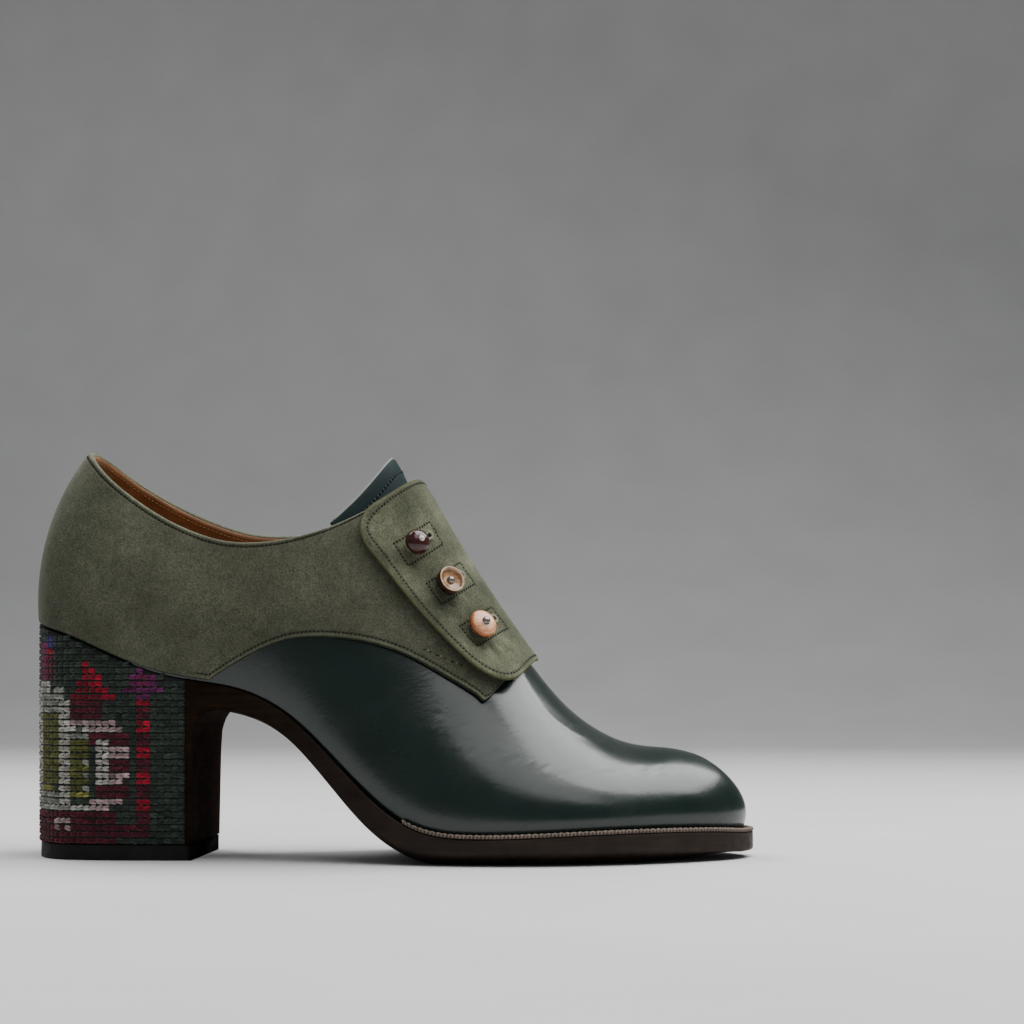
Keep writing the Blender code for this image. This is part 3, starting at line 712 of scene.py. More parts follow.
def sewn(at, run, out, length, radius, flat=1.0, along=STITCH_STEPS, sides=STITCH_SIDES):
    """Points and faces of stitches that lie along run at given places, their ends diving in."""
    cross = np.cross(out, run)
    thick = radius * np.sqrt(np.clip(1 - STITCH_TAPER * along ** 4, 0, 1))
    dive = STITCH_TAPER * flat * radius * along ** 4
    half = 0.5 * np.broadcast_to(length, len(at))
    core = (at[:, None] + half[:, None, None] * along[None, :, None] * run[:, None]
            - dive[None, :, None] * out[:, None])
    cosine, sine = (value[None, None, :, None] for value in round_circle(sides))
    ring = cosine * cross[:, None, None] + flat * sine * out[:, None, None]
    points = core[:, :, None] + thick[None, :, None, None] * ring
    one = capped_faces(len(along), sides)
    size = len(along) * sides
    faces = [[k + n * size for k in face] for n in range(len(at)) for face in one]
    return points.reshape(-1, 3), faces


def stitches(curve, normals, sewing, turn=0.0):
    """Points and faces of a row of stitches along a curve, turned about the normal."""
    curve, normals = resample(curve, sewing.pitch, normals)
    tangent, side, out = frames_along(curve, normals)
    run = math.cos(turn) * tangent + math.sin(turn) * side
    return sewn(curve, run, out, sewing.length, sewing.radius)


def joined(*parts):
    """Points and faces of several meshes as one."""
    faces = []
    start = 0
    for points, their in parts:
        faces += [[k + start for k in face] for face in their]
        start += len(points)
    return np.concatenate([points for points, _ in parts]), faces


# Materials

class Look:
    """A Principled material and the making of its nodes."""

    def __init__(self, name, roughness, **fixed):
        self.material = bpy.data.materials.new(name)
        self.material.use_nodes = True
        self.tree = self.material.node_tree
        self.shader = self.tree.nodes["Principled BSDF"]
        self.shader.inputs["Roughness"].default_value = roughness
        for key, value in fixed.items():
            self.shader.inputs[key.replace("_", " ")].default_value = value
        self.place = self.node("ShaderNodeTexCoord").outputs["Object"]

    def node(self, kind, settings=None, **inputs):
        item = self.tree.nodes.new(kind)
        for key, value in (settings or {}).items():
            setattr(item, key, value)
        for key, value in inputs.items():
            socket = item.inputs[key.replace("_", " ")]
            if isinstance(value, bpy.types.NodeSocket):
                self.tree.links.new(value, socket)
            else:
                socket.default_value = value
        return item

    def noise(self, size, detail=2.0, stretch=(1.0, 1.0, 1.0), shift=0.0, turn=0.0):
        """Noise whose patches are about size metres wide, turned about y before it is stretched."""
        place = self.place
        if turn:
            place = self.node("ShaderNodeMapping", Vector=place, Rotation=(0.0, turn, 0.0)).outputs[0]
        place = self.node("ShaderNodeMapping", Vector=place, Scale=stretch,
                          Location=(shift, shift, shift)).outputs[0]
        return self.node("ShaderNodeTexNoise", Vector=place, Scale=1 / size,
                         Detail=detail).outputs[0]

    def cells(self, size):
        """Distance from the middle of leather grains about size metres wide."""
        return self.node("ShaderNodeTexVoronoi", Vector=self.place, Scale=1 / size).outputs[0]

    def ramp(self, factor, *stops):
        item = self.node("ShaderNodeValToRGB", Fac=factor)
        marks = item.color_ramp.elements
        while len(marks) < len(stops):
            marks.new(1.0)
        for mark, (position, colour) in zip(marks, stops):
            mark.position = position
            mark.color = (*colour, 1.0)
        return item.outputs[0]

    def grey(self, factor, *stops):
        return self.ramp(factor, *[(position, (value,) * 3) for position, value in stops])

    def times(self, first, second):
        """Product of two colours."""
        return self.node("ShaderNodeMixRGB", {"blend_type": "MULTIPLY"}, Fac=1.0, Color1=first,
                         Color2=second).outputs[0]

    def tint(self):
        return self.node("ShaderNodeAttribute", {"attribute_name": "tint"}).outputs["Color"]

    def colour(self, socket):
        self.tree.links.new(socket, self.shader.inputs["Base Color"])

    def roughness(self, socket):
        self.tree.links.new(socket, self.shader.inputs["Roughness"])

    def specular(self, socket):
        self.tree.links.new(socket, self.shader.inputs["Specular IOR Level"])

    def bumps(self, *layers):
        """Bump from (height, strength, depth) layers, one on another."""
        normal = None
        for height, strength, depth in layers:
            item = self.node("ShaderNodeBump", Height=height, Strength=strength, Distance=depth)
            if normal is not None:
                self.tree.links.new(normal, item.inputs["Normal"])
            normal = item.outputs[0]
        self.tree.links.new(normal, self.shader.inputs["Normal"])


def suede_look(name, dark, middle, light, shift):
    look = Look(name, 0.95, Sheen_Weight=0.10, Sheen_Roughness=0.40, Specular_IOR_Level=0.12,
                Sheen_Tint=(0.82, 0.85, 0.70, 1.0))
    brushed = look.ramp(look.noise(0.016, 5.0, shift=shift), (0.30, dark), (0.52, middle),
                        (0.74, light))
    strokes = look.noise(0.0026, 3.0, (1.0, 1.0, 0.85), shift)
    colour = look.times(brushed, look.grey(strokes, (0.28, 0.88), (0.72, 1.12)))
    nap = look.noise(0.00060, 3.0)
    colour = look.times(colour, look.grey(nap, (0.28, 0.60), (0.72, 1.38)))
    look.colour(look.times(colour, look.tint()))
    look.bumps((strokes, 0.20, 0.0004), (nap, 0.60, 0.00024))
    return look.material


def polished_look(name, dark, light, roughness, coat, gloss):
    look = Look(name, roughness, Coat_Weight=coat, Coat_Roughness=0.16, Specular_IOR_Level=gloss)
    colour = look.ramp(look.noise(0.030, 3.0), (0.35, dark), (0.68, light))
    look.colour(look.times(colour, look.tint()))
    wear_and_highlight = look.noise(0.012, 3.0)
    look.roughness(look.grey(wear_and_highlight, (0.3, roughness - 0.04), (0.7, roughness + 0.06)))
    wrinkled = look.noise(0.0026, 3.0, (1.0, 1.0, 2.4), 0.0, math.radians(26))
    look.bumps((look.noise(0.012, 2.0), 0.14, 0.0010), (wrinkled, 0.14, 0.00036),
               (look.noise(0.0007, 2.0), 0.14, 0.00012))
    return look.material


def plain_leather_look(name, dark, light, roughness, grain, tinted=False):
    look = Look(name, roughness)
    colour = look.ramp(look.noise(0.009, 6.0), (0.30, dark), (0.70, light))
    if tinted:
        colour = look.times(colour, look.tint())
    fine = look.noise(0.0007, 3.0)
    look.colour(look.times(colour, look.grey(fine, (0.3, 0.82), (0.7, 1.12))))
    look.bumps((look.cells(grain), 0.22, 0.00015), (fine, 0.18, 0.00012))
    return look.material


def edge_look(name, dark, light):
    """Stained and burnished cut leather, with its fibres lying along the edge."""
    look = Look(name, 0.60)
    layers = look.noise(0.0011, 4.0, (0.06, 0.06, 1.0))
    colour = look.ramp(look.noise(0.010, 5.0), (0.30, dark), (0.72, light))
    colour = look.times(colour, look.grey(layers, (0.3, 0.72), (0.7, 1.2)))
    look.colour(look.times(colour, look.tint()))
    # Where the tint paints shade, the gloss is turned off as well
    look.specular(look.grey(look.tint(), (0.70, 0.0), (1.0, 0.20)))
    scuff = look.noise(0.0032, 6.0)
    look.roughness(look.grey(scuff, (0.35, 0.48), (0.7, 0.70)))
    look.bumps((layers, 0.22, 0.0002), (scuff, 0.12, 0.0003))
    return look.material


def thread_look(name, colour):
    look = Look(name, 0.80, Specular_IOR_Level=0.15)
    twist = look.noise(0.0003, 2.0)
    look.colour(look.ramp(twist, (0.3, tuple(c * 0.6 for c in colour)), (0.7, colour)))
    look.bumps((twist, 0.4, 0.0001))
    return look.material


def yarn_look(name):
    look = Look(name, 0.92, Sheen_Weight=0.16, Sheen_Roughness=0.5, Specular_IOR_Level=0.15)
    fibre = look.noise(0.00034, 3.0, (0.5, 0.5, 1.6))
    look.colour(look.times(look.tint(), look.grey(fibre, (0.25, 0.45), (0.75, 1.5))))
    look.bumps((fibre, 0.8, 0.0003))
    return look.material


def gloss_look(name):
    """Turned horn or shell, streaked and polished, coloured by its tint."""
    look = Look(name, 0.15, Coat_Weight=0.25, Coat_Roughness=0.06, Specular_IOR_Level=0.35)
    streak = look.noise(0.0022, 4.0, (1.0, 1.0, 2.5))
    look.colour(look.times(look.tint(), look.grey(streak, (0.3, 0.62), (0.7, 1.25))))
    look.bumps((look.noise(0.0012, 3.0), 0.04, 0.0002))
    return look.material


def metal_look(name, dark, light):
    look = Look(name, 0.22, Metallic=0.75)
    look.colour(look.ramp(look.noise(0.0015), (0.3, dark), (0.7, light)))
    look.bumps((look.noise(0.0009), 0.03, 0.0001))
    return look.material


SUEDE = suede_look("olive_suede", (0.064, 0.067, 0.045), (0.082, 0.086, 0.059),
                   (0.106, 0.110, 0.077), 0.0)
FLAP_SUEDE = suede_look("flap_suede", (0.048, 0.052, 0.033), (0.086, 0.091, 0.058),
                        (0.156, 0.161, 0.106), 0.31)
VAMP_LEATHER = polished_look("vamp_leather", (0.0030, 0.0105, 0.0080), (0.0048, 0.0150, 0.0115),
                             0.24, 0.30, 0.42)
TONGUE_LEATHER = polished_look("tongue_leather", (0.009, 0.018, 0.019), (0.014, 0.026, 0.028),
                               0.66, 0.0, 0.10)
LINING = plain_leather_look("lining_leather", (0.165, 0.062, 0.017), (0.265, 0.105, 0.030), 0.58,
                            0.0009)
SOLE_EDGE = edge_look("sole_leather", (0.013, 0.0080, 0.0055), (0.024, 0.015, 0.010))
WELT_LEATHER = plain_leather_look("welt_leather", (0.088, 0.058, 0.041), (0.155, 0.106, 0.077), 0.6,
                                  0.0006, True)
LIFT_RUBBER = edge_look("lift_rubber", (0.0050, 0.0046, 0.0046), (0.0090, 0.0082, 0.0080))
DARK_THREAD = thread_look("dark_thread", (0.011, 0.012, 0.008))
PALE_THREAD = thread_look("pale_thread", (0.340, 0.345, 0.255))
EDGE_THREAD = thread_look("edge_thread", (0.150, 0.155, 0.072))
RAW_EDGE = thread_look("raw_edge", (0.30, 0.31, 0.285))
TEAL_THREAD = thread_look("teal_thread", (0.004, 0.006, 0.006))
PALE_TEAL_THREAD = thread_look("pale_teal_thread", (0.105, 0.125, 0.125))
WELT_THREAD = thread_look("welt_thread", (0.27, 0.21, 0.165))
TAN_THREAD = thread_look("tan_thread", (0.42, 0.20, 0.075))
YARN = yarn_look("woven_cloth")
BUTTON_POLISH = gloss_look("button_polish")
PIN_METAL = metal_look("button_pin", (0.16, 0.145, 0.120), (0.26, 0.235, 0.195))


def shade(values):
    """Tint that multiplies the base colour by one value at each point."""
    values = np.asarray(values, np.float32).ravel()
    return np.stack([values, values, values, np.ones_like(values)], -1)


# Vamp and lining

VAMP_COLUMNS = ((VAMP_START, 6.7, 50), (6.7, 11.5, 160), (11.5, TOE, 24))
VAMP_ROWS = ((0.0, 0.28, 14), (0.28, 0.74, 66), (0.74, 1.0, 16))
VAMP_CLIMB = (5.6, 6.2)
SEAT_BAND_END = VAMP_START + 0.6
SEAT_BAND_TOP = 0.055
SEAT_BAND_OUTSIDE = -0.00004
SEAT_BAND_WALL = 0.8 * VAMP_WALL
THROAT_CROWD = (-0.5, 0.06)
LINING_COARSE = 0.08
LINING_DROP = COLLAR_STEP + 0.0002
LINING_SEAM = 0.0024
LINING_SEAM_END = CLOSED_FROM - 0.08
LINING_SEWING = Sewing(0.0016, 0.0012, 0.00022)
HEEL_SEAM = 0.16
HEEL_SEAM_SPAN = (0.06, 0.80)
HEEL_SEWING = Sewing(0.0019, 0.0015, 0.00024)


def vamp_high(u):
    """t at which the vamp runs in under the quarters, or the ridge ahead of them."""
    side = np.where(u > TOE, ROUND - u, u)
    lap = np.minimum(scallop_t(side) + VAMP_LAP, 1.0)
    return lap + (1 - lap) * smooth_step(side, *VAMP_CLIMB)


def join_ridge(closed, partner, *grids):
    """Both sides' last rows meet on the ridge; partner numbers each column's fellow."""
    for grid in grids:
        middle = (grid[-1] + grid[-1, partner]) / 2
        grid[-1] = np.where(closed[:, None], middle, grid[-1])


class Crease(NamedTuple):
    """Soft crease of the vamp between two places on the last; a minus depth stands up."""
    u: float
    t: float
    end_u: float
    end_t: float
    width: float
    depth: float


CREASES = (
    Crease(6.80, 0.32, 6.95, 0.38, 0.0008, 0.00006), Crease(7.00, 0.32, 7.10, 0.39, 0.0009, -0.00006),
    Crease(7.20, 0.32, 7.30, 0.39, 0.0008, 0.00006), Crease(7.40, 0.32, 7.55, 0.39, 0.0009, -0.00006),
    Crease(7.65, 0.33, 7.80, 0.41, 0.0008, 0.00007), Crease(7.80, 0.36, 7.95, 0.41, 0.0008, -0.00006),
    Crease(7.95, 0.36, 8.10, 0.43, 0.0008, 0.00007), Crease(8.12, 0.37, 8.25, 0.44, 0.0008, -0.00006),
    Crease(8.25, 0.37, 8.40, 0.45, 0.0008, 0.00007), Crease(8.50, 0.38, 8.58, 0.45, 0.0008, -0.00006),
    Crease(8.75, 0.40, 8.85, 0.47, 0.0008, 0.00007), Crease(9.00, 0.42, 9.10, 0.50, 0.0008, -0.00006),
    Crease(9.12, 0.43, 9.22, 0.50, 0.0008, 0.00006), Crease(9.25, 0.45, 9.35, 0.53, 0.0008, 0.00009),
    Crease(9.45, 0.48, 9.60, 0.58, 0.0008, -0.00010), Crease(9.58, 0.48, 9.70, 0.55, 0.0008, 0.00011),
    Crease(9.70, 0.49, 9.85, 0.61, 0.0008, 0.00012), Crease(9.85, 0.50, 9.98, 0.58, 0.0008, -0.00012),
    Crease(9.95, 0.51, 10.15, 0.64, 0.0008, 0.00013), Crease(10.10, 0.52, 10.25, 0.60, 0.0008, -0.00012),
    Crease(10.25, 0.52, 10.50, 0.66, 0.0008, 0.00013), Crease(10.40, 0.52, 10.60, 0.60, 0.0008, -0.00012),
    Crease(10.55, 0.52, 10.85, 0.65, 0.0008, 0.00011), Crease(10.85, 0.54, 11.25, 0.67, 0.0008, 0.00007),
    Crease(6.98, 0.39, 7.15, 0.43, 0.0009, 0.00005), Crease(7.38, 0.41, 7.55, 0.45, 0.0009, 0.00005),
    Crease(7.80, 0.83, 8.30, 0.74, 0.0017, -0.00013), Crease(8.05, 0.78, 8.55, 0.72, 0.0017, -0.00013),
    Crease(8.30, 0.74, 8.80, 0.71, 0.0017, -0.00013), Crease(8.55, 0.72, 9.10, 0.73, 0.0018, -0.00012),
    Crease(8.80, 0.71, 9.45, 0.77, 0.0020, -0.00010),
)


def vamp_offset(points):
    """Height of the creased vamp above the last at points of the last."""
    height = np.zeros(points.shape[:-1])
    for row in CREASES:
        start, stop = on_last(np.array([row.u, row.end_u]), np.array([row.t, row.end_t]))
        way = stop - start
        f = np.clip((points - start) @ way / (way @ way), 0, 1)
        away = np.linalg.norm(points - start - f[..., None] * way, axis=-1)
        height -= row.depth * bell(away, row.width) * np.sin(math.pi * f) ** 2
    return height


def stepped(spans):
    """Numbers through several spans of (start, stop, count), evenly spaced in each."""
    parts = [np.linspace(start, stop, count, endpoint=False) for start, stop, count in spans]
    return np.concatenate(parts + [[spans[-1][1]]])


def build_vamp():
    around = round_toe(stepped(VAMP_COLUMNS))
    high = vamp_high(around)
    t = stepped(VAMP_ROWS)[:, None] * high
    u = np.broadcast_to(around, t.shape)
    outer = off_last(u, t, vamp_offset(on_last(u, t)))
    inner = off_last(u, t, -VAMP_WALL)
    closed = high >= 1
    join_ridge(closed, np.arange(len(around))[::-1], outer, inner)
    mesh = shell(outer, inner, open_top=~closed)
    add_piece("vamp", mesh, VAMP_LEATHER, "upper", WHITE)


def build_seat_band():
    around = np.linspace(-SEAT_BAND_END, SEAT_BAND_END, 160)
    t = np.linspace(0.0, SEAT_BAND_TOP, 7)[:, None] * np.ones_like(around)
    u = np.broadcast_to(around, t.shape)
    outer = off_last(u, t, SEAT_BAND_OUTSIDE)
    inner = off_last(u, t, SEAT_BAND_OUTSIDE - SEAT_BAND_WALL)
    add_piece("heel_seat_band", shell(outer, inner), VAMP_LEATHER, None, WHITE)


def throat_columns(start, stop, coarse):
    """Station numbers from start to stop, crowded where the collar climbs to the ridge."""
    some = np.arange(start, stop, coarse)
    near = CLOSED_FROM + np.linspace(*THROAT_CROWD, 30)
    return np.unique(np.concatenate([some[(some < near[0]) | (some > near[-1])], near, [stop]]))


def lining_seam(u, t, sewing):
    """Points and faces of a seam on the inside of the lining."""
    return stitches(off_last(u, t, -UPPER_WALL), -last_normal(u, t), sewing)


def build_lining():
    half = throat_columns(0.0, TOE, LINING_COARSE)
    around = np.concatenate([half, ROUND - half[-2:0:-1]])
    top = collar_t(around, LINING_DROP)
    t = np.linspace(0.0, 1.0, 44)[:, None] * top
    u = np.broadcast_to(around, t.shape)
    outer = off_last(u, t, LINING_OUTSIDE)
    inner = off_last(u, t, -UPPER_WALL)
    partner = -np.arange(len(around))
    closed = top >= 1 - 1e-6
    closed = closed & closed[partner]
    join_ridge(closed, partner, outer, inner)
    mesh = shell(outer, inner, wrap_columns=True, open_top=~closed)
    add_piece("lining", mesh, LINING, "upper")
    around = np.linspace(-LINING_SEAM_END, LINING_SEAM_END, 900)
    rows = [lining_seam(around, collar_t(around, COLLAR_STEP + LINING_SEAM), LINING_SEWING)]
    for side in (-HEEL_SEAM, HEEL_SEAM):
        t = np.linspace(*HEEL_SEAM_SPAN, 60) * collar_t(np.array([side]), COLLAR_STEP)
        rows.append(lining_seam(np.full(t.shape, side), t, HEEL_SEWING))
    add_piece("lining_stitches", joined(*rows), TAN_THREAD)


# Quarters

RIM_ROUND = 0.0008
FOOT_ROUND = 0.0006
EDGE_STEPS = np.array([0.0, 0.25, 0.5, 0.75, 1.0, 1.25, 1.5, 1.8, 2.2, 2.8, 3.6]) / 1000
ARC = np.linspace(0.0, math.pi, 7)[1:-1]
COLLAR_SEAM = 0.0017
SCALLOP_SEAM = 0.0019
SEAM_DEPTH = 0.00026
SEAM_HALF = 0.00042
RIM_SEAM_DEPTH = 1.3
EDGE_ROOM = 0.011
LEAST_ROOM = 0.02
QUARTER_ROWS = 46
QUARTER_COARSE = 0.045
TIP_CROWD = 0.30
COLLAR_TURN_IN = (0.004, 0.010)
SCALLOP_FADE = (3.35, 3.75)
SCALLOP_SEAM_START = 3.62
SCALLOP_SEAM_STOP = TIP + 0.08
COLLAR_SEAM_END = CLOSED_FROM - 0.03
STITCH_SINK = 0.00003
COLLAR_STITCH_SINK = 0.00008
# Painted light on the quarters: painted shade at the foot, rising to painted light at the rim
FOOT_PAINTED_SHADE = 0.84
RIM_PAINTED_LIGHT_GAIN = 0.24
# Painted shade in the seam grooves along the foot and the rim
FOOT_SEAM_PAINTED_SHADE = 0.36
RIM_SEAM_PAINTED_SHADE = 0.55
# Painted highlight on the rounded rim; the cut foot edge is darker, partly its stain and partly painted
# shade
RIM_ARC_PAINTED_HIGHLIGHT = 1.35
FOOT_ARC_STAIN_AND_SHADE = 0.30


class EdgeHighlight(NamedTuple):
    """Painted highlight, a paler line along an edge: its strength, distance from the edge and half width.
    """
    shade: float
    inset: float
    width: float


RIM_PAINTED_HIGHLIGHT = EdgeHighlight(0.30, 0.0005, 0.0005)
FOOT_PAINTED_HIGHLIGHT = EdgeHighlight(0.16, 0.0008, 0.0005)


def quarter_columns():
    """Station numbers round the quarters, from tip to tip round the heel."""
    near_tip = np.linspace(TIP - TIP_CROWD, TIP + QUARTER_FRONT_SPAN, 40)
    half = throat_columns(0.0, near_tip[0], QUARTER_COARSE)
    half = np.concatenate([half, near_tip[1:]])
    return np.concatenate([-half[:0:-1], half])


def quarter_edges(around):
    """t of the quarters' lower and upper edges."""
    low = quarter_foot(around)
    high = np.minimum(collar_t(around), QUARTER_FACING)
    return low, high


def build_quarters():
    around = quarter_columns()
    low, high = quarter_edges(around)
    low_speed = wall_speed(around, low)
    high_speed = wall_speed(around, high)
    room = np.clip((high - low) * low_speed / EDGE_ROOM, LEAST_ROOM, 1.0)
    foot = [low + room * (FOOT_ROUND + d) / low_speed for d in EDGE_STEPS]
    rim = [high - room * (RIM_ROUND + d) / high_speed for d in EDGE_STEPS[::-1]]
    middle = [foot[-1] + f * (rim[0] - foot[-1]) for f in np.linspace(0, 1, QUARTER_ROWS)[1:-1]]
    t = np.stack(foot + middle + rim)
    u = np.broadcast_to(around, t.shape)
    from_foot = (t - low) * low_speed
    from_rim = (high - t) * high_speed
    collared = (high < QUARTER_FACING - 1e-4).astype(float)
    scalloped = smooth_step(np.abs(u), *SCALLOP_FADE) * room ** 2
    foot_groove = scalloped * bell(from_foot - SCALLOP_SEAM, SEAM_HALF)
    rim_groove = collared * bell(from_rim - COLLAR_SEAM, SEAM_HALF)
    outer = off_last(u, t, QUARTER_OUTSIDE - SEAM_DEPTH * (foot_groove + RIM_SEAM_DEPTH * rim_groove))
    lifted = COLLAR_INSIDE * collared + GAP * (1 - collared)
    inner = off_last(u, t, lifted + (GAP - lifted) * smooth_step(from_rim, *COLLAR_TURN_IN))
    middle_offset = (QUARTER_OUTSIDE + lifted) / 2
    half_wall = (QUARTER_OUTSIDE - lifted) / 2
    rim_arc = [off_last(around, high - room * RIM_ROUND * (1 - math.sin(angle)) / high_speed,
                        middle_offset + half_wall * math.cos(angle)) for angle in ARC]
    foot_arc = [off_last(around, low + room * FOOT_ROUND * (1 - math.sin(angle)) / low_speed,
                         GAP + QUARTER_WALL / 2 * (1 + math.cos(angle))) for angle in ARC[::-1]]
    ring = np.concatenate([outer, rim_arc, inner[::-1], foot_arc])
    # Painted shade towards the foot and painted light towards the rim
    tint = FOOT_PAINTED_SHADE + RIM_PAINTED_LIGHT_GAIN * (t - low) / (high - low)
    # Painted shade in the seam grooves
    tint = tint * (1 - FOOT_SEAM_PAINTED_SHADE * foot_groove) * (1 - RIM_SEAM_PAINTED_SHADE * rim_groove)
    # Painted highlights along the rim and the scalloped foot
    tint = tint + RIM_PAINTED_HIGHLIGHT.shade * collared * bell(from_rim - RIM_PAINTED_HIGHLIGHT.inset, RIM_PAINTED_HIGHLIGHT.width)
    tint = tint + FOOT_PAINTED_HIGHLIGHT.shade * scalloped * bell(from_foot - FOOT_PAINTED_HIGHLIGHT.inset, FOOT_PAINTED_HIGHLIGHT.width)
    # Painted highlight on the rim's rounding; stain and painted shade on the foot's rounding
    arc_shape = (len(ARC), len(around))
    tint = np.concatenate([tint, np.full(arc_shape, RIM_ARC_PAINTED_HIGHLIGHT), np.ones_like(tint),
                           np.full(arc_shape, FOOT_ARC_STAIN_AND_SHADE)])
    add_piece("quarters", loft(np.moveaxis(ring, 0, 1)), SUEDE, "quarters",
              shade(np.moveaxis(tint, 0, 1)))


def quarter_line(around, edge, inset, offset):
    """Curve and normals at an inset from the quarters' lower or upper edge."""
    low, high = quarter_edges(around)
    base = low if edge == "foot" else high
    toward = 1 if edge == "foot" else -1
    t = base + toward * inset / wall_speed(around, base)
    return off_last(around, t, offset), last_normal(around, t)


def sided(start, stop, count):
    """Matching station numbers on both sides of the shoe."""
    outer = np.linspace(start, stop, count)
    return outer, -outer[::-1]


TICKS = Sewing(0.00138, 0.00112, 0.00030)
TICK_TURN = math.radians(68)


def ticks(curve, normals):
    """Points and faces of a sewn seam: short stitches that lie slantwise over their groove."""
    return stitches(curve, normals, TICKS, TICK_TURN)


class Tack(NamedTuple):
    """Stitch of the tacked seam beside the flap: place on the last, length and turn in degrees."""
    u: float
    t: float
    length: float
    turn: float


DARK_TACKS = (
    Tack(6.56, 0.517, 0.0016, 24), Tack(6.65, 0.530, 0.0013, 30), Tack(6.75, 0.540, 0.0018, 20),
    Tack(6.86, 0.553, 0.0012, 28), Tack(6.97, 0.566, 0.0016, 22), Tack(7.10, 0.583, 0.0014, 26),
)
DARK_TACK_RADIUS = 0.00030
PALE_TACKS = (
    Tack(6.61, 0.526, 0.0007, 40), Tack(6.80, 0.549, 0.0008, 36), Tack(7.03, 0.576, 0.0006, 42),
)
PALE_TACK_RADIUS = 0.00020
TACK_SINK = 0.4


def tacked(rows, radius):
    """Points and faces of tacks, turned from the line through them."""
    u = np.array([row.u for row in rows])
    t = np.array([row.t for row in rows])
    normals = last_normal(u, t)
    at = off_last(u, t, QUARTER_OUTSIDE - TACK_SINK * radius)
    tangent, side, out = frames_along(at, normals)
    turn = np.radians([row.turn for row in rows])[:, None]
    run = np.cos(turn) * tangent + np.sin(turn) * side
    return sewn(at, run, out, np.array([row.length for row in rows]), radius)


def build_quarter_seams():
    surface = QUARTER_OUTSIDE - SEAM_DEPTH - STITCH_SINK
    rows = [ticks(*quarter_line(around, "foot", SCALLOP_SEAM, surface))
            for around in sided(SCALLOP_SEAM_START, SCALLOP_SEAM_STOP, 300)]
    front = np.linspace(-COLLAR_SEAM_END, COLLAR_SEAM_END, 900)
    rows.append(ticks(*quarter_line(front, "rim", COLLAR_SEAM, surface - COLLAR_STITCH_SINK)))
    rows.append(tacked(DARK_TACKS, DARK_TACK_RADIUS))
    add_piece("quarter_stitches", joined(*rows), DARK_THREAD)
    add_piece("tack_threads", tacked(PALE_TACKS, PALE_TACK_RADIUS), PALE_THREAD)


# Button flap

FLAP_SEAM = 0.0015
FLAP_SEAM_SWELL = 0.0014
FLAP_SEAM_SWELL_AT = 0.010
FLAP_SEAM_SWELL_SPAN = 0.024
FLAP_SEAM_SWELL_FROM = (0.022, 0.034)
FLAP_LIFT_FROM = (0.006, 0.018)
FLAP_EDGE_STEPS = np.arange(0.0, 0.0036, 0.0003)
FLAP_OUTLINE_STEP = 0.0005
FLAP_EDGE_SAMPLE = 0.0001
FRAME_STEP = 0.0004
FLAP_GRAIN = 0.00034
FLAP_GRAIN_STRETCH = 1.25
# Painted shade on the flap's underside
FLAP_BACK_PAINTED_SHADE = 0.25
FRAME_X = (-0.0062, 0.0123)
FRAME_Y = (-0.0039, 0.0051)
KEYHOLE_START = -0.0018
KEYHOLE_END = 0.0086
KEYHOLE_HALF = 0.00045
EYELET_RADIUS = 0.00085
CUT_BELOW = 0.001
CUT_ABOVE = 0.002
INNER_SEAM_ENDS = 0.0015
INNER_SEAM_INSET = 0.0016
INNER_SEAM_SINK = 0.00012
FRAME_STITCH_LIFT = 0.00002
BEAD_OUT = 0.00006
BEAD_HEIGHT = 0.45 * FLAP_WALL
BEAD = Sewing(0.00062, 0.92 * FLAP_WALL, 0.00027)
OVERCAST = Sewing(0.00056, 0.00110, 0.00025)
OVERCAST_OUT = 0.00048
OVERCAST_LIFT = 0.00020


class Press(NamedTuple):
    """Mark pressed into leather: half width, depth and the painted shade laid in it; a minus depth stands
    up.
    """
    width: float
    depth: float
    shade: float


FLAP_ROUND = Press(0.00035, 0.00030, 0.0)
FLAP_GROOVE = Press(0.00038, 0.00024, 0.30)
FRAME_GROOVE = Press(0.00036, 0.00020, 0.26)
HOLE_LIP = Press(0.0006, -0.00028, 0.0)
HOLE_LIP_AT = 0.0007
BUTTON_DENT = Press(0.0052, 0.00035, 0.12)
FLAP_PAINTED_HIGHLIGHT = EdgeHighlight(0.45, 0.0002, 0.0004)
EDGE_BAND = (0.0004, 0.0010)
EDGE_BAND_FADE = 0.0003
EDGE_BAND_SHADE = 0.14
FOLD_ENDS = 0.35
FOLD_MIDDLE = 2.6
# Painted shade in dented folds and painted highlight on raised ones, for each metre of depth
FOLD_PAINTED_SHADE = 900


def flap_reach(along):
    """Reach of the flap across the outer side, with rounded corners at both ends."""
    from_end = np.minimum(along, FLAP_LENGTH - along)
    size = np.where(along < FLAP_LENGTH / 2, FLAP_TOP_ROUND, FLAP_FOOT_ROUND)
    width = FLAP_TOP_WIDTH + (FLAP_FOOT_WIDTH - FLAP_TOP_WIDTH) * along / FLAP_LENGTH
    bite = np.clip(size - from_end, 0, size)
    return width + FLAP_SPREAD - size + np.sqrt(size ** 2 - bite ** 2)


def flap_corners():
    """Distances along the ridge that draw the flap's two rounded corners."""
    turn = 1 - np.cos(np.radians(np.linspace(0, 90, 15)))
    return FLAP_TOP_ROUND * turn, FLAP_LENGTH - FLAP_FOOT_ROUND * turn[::-1]


def flap_place(along, across):
    """Pattern distance along the ridge of the flap's points; its foot leans less on the outer side."""
    low = smooth_step(np.asarray(along), FLAP_FOOT_FROM, FLAP_LENGTH)
    return leaned(along, across) + FLAP_FOOT_LEAN * low * np.maximum(across, 0.0) ** 2


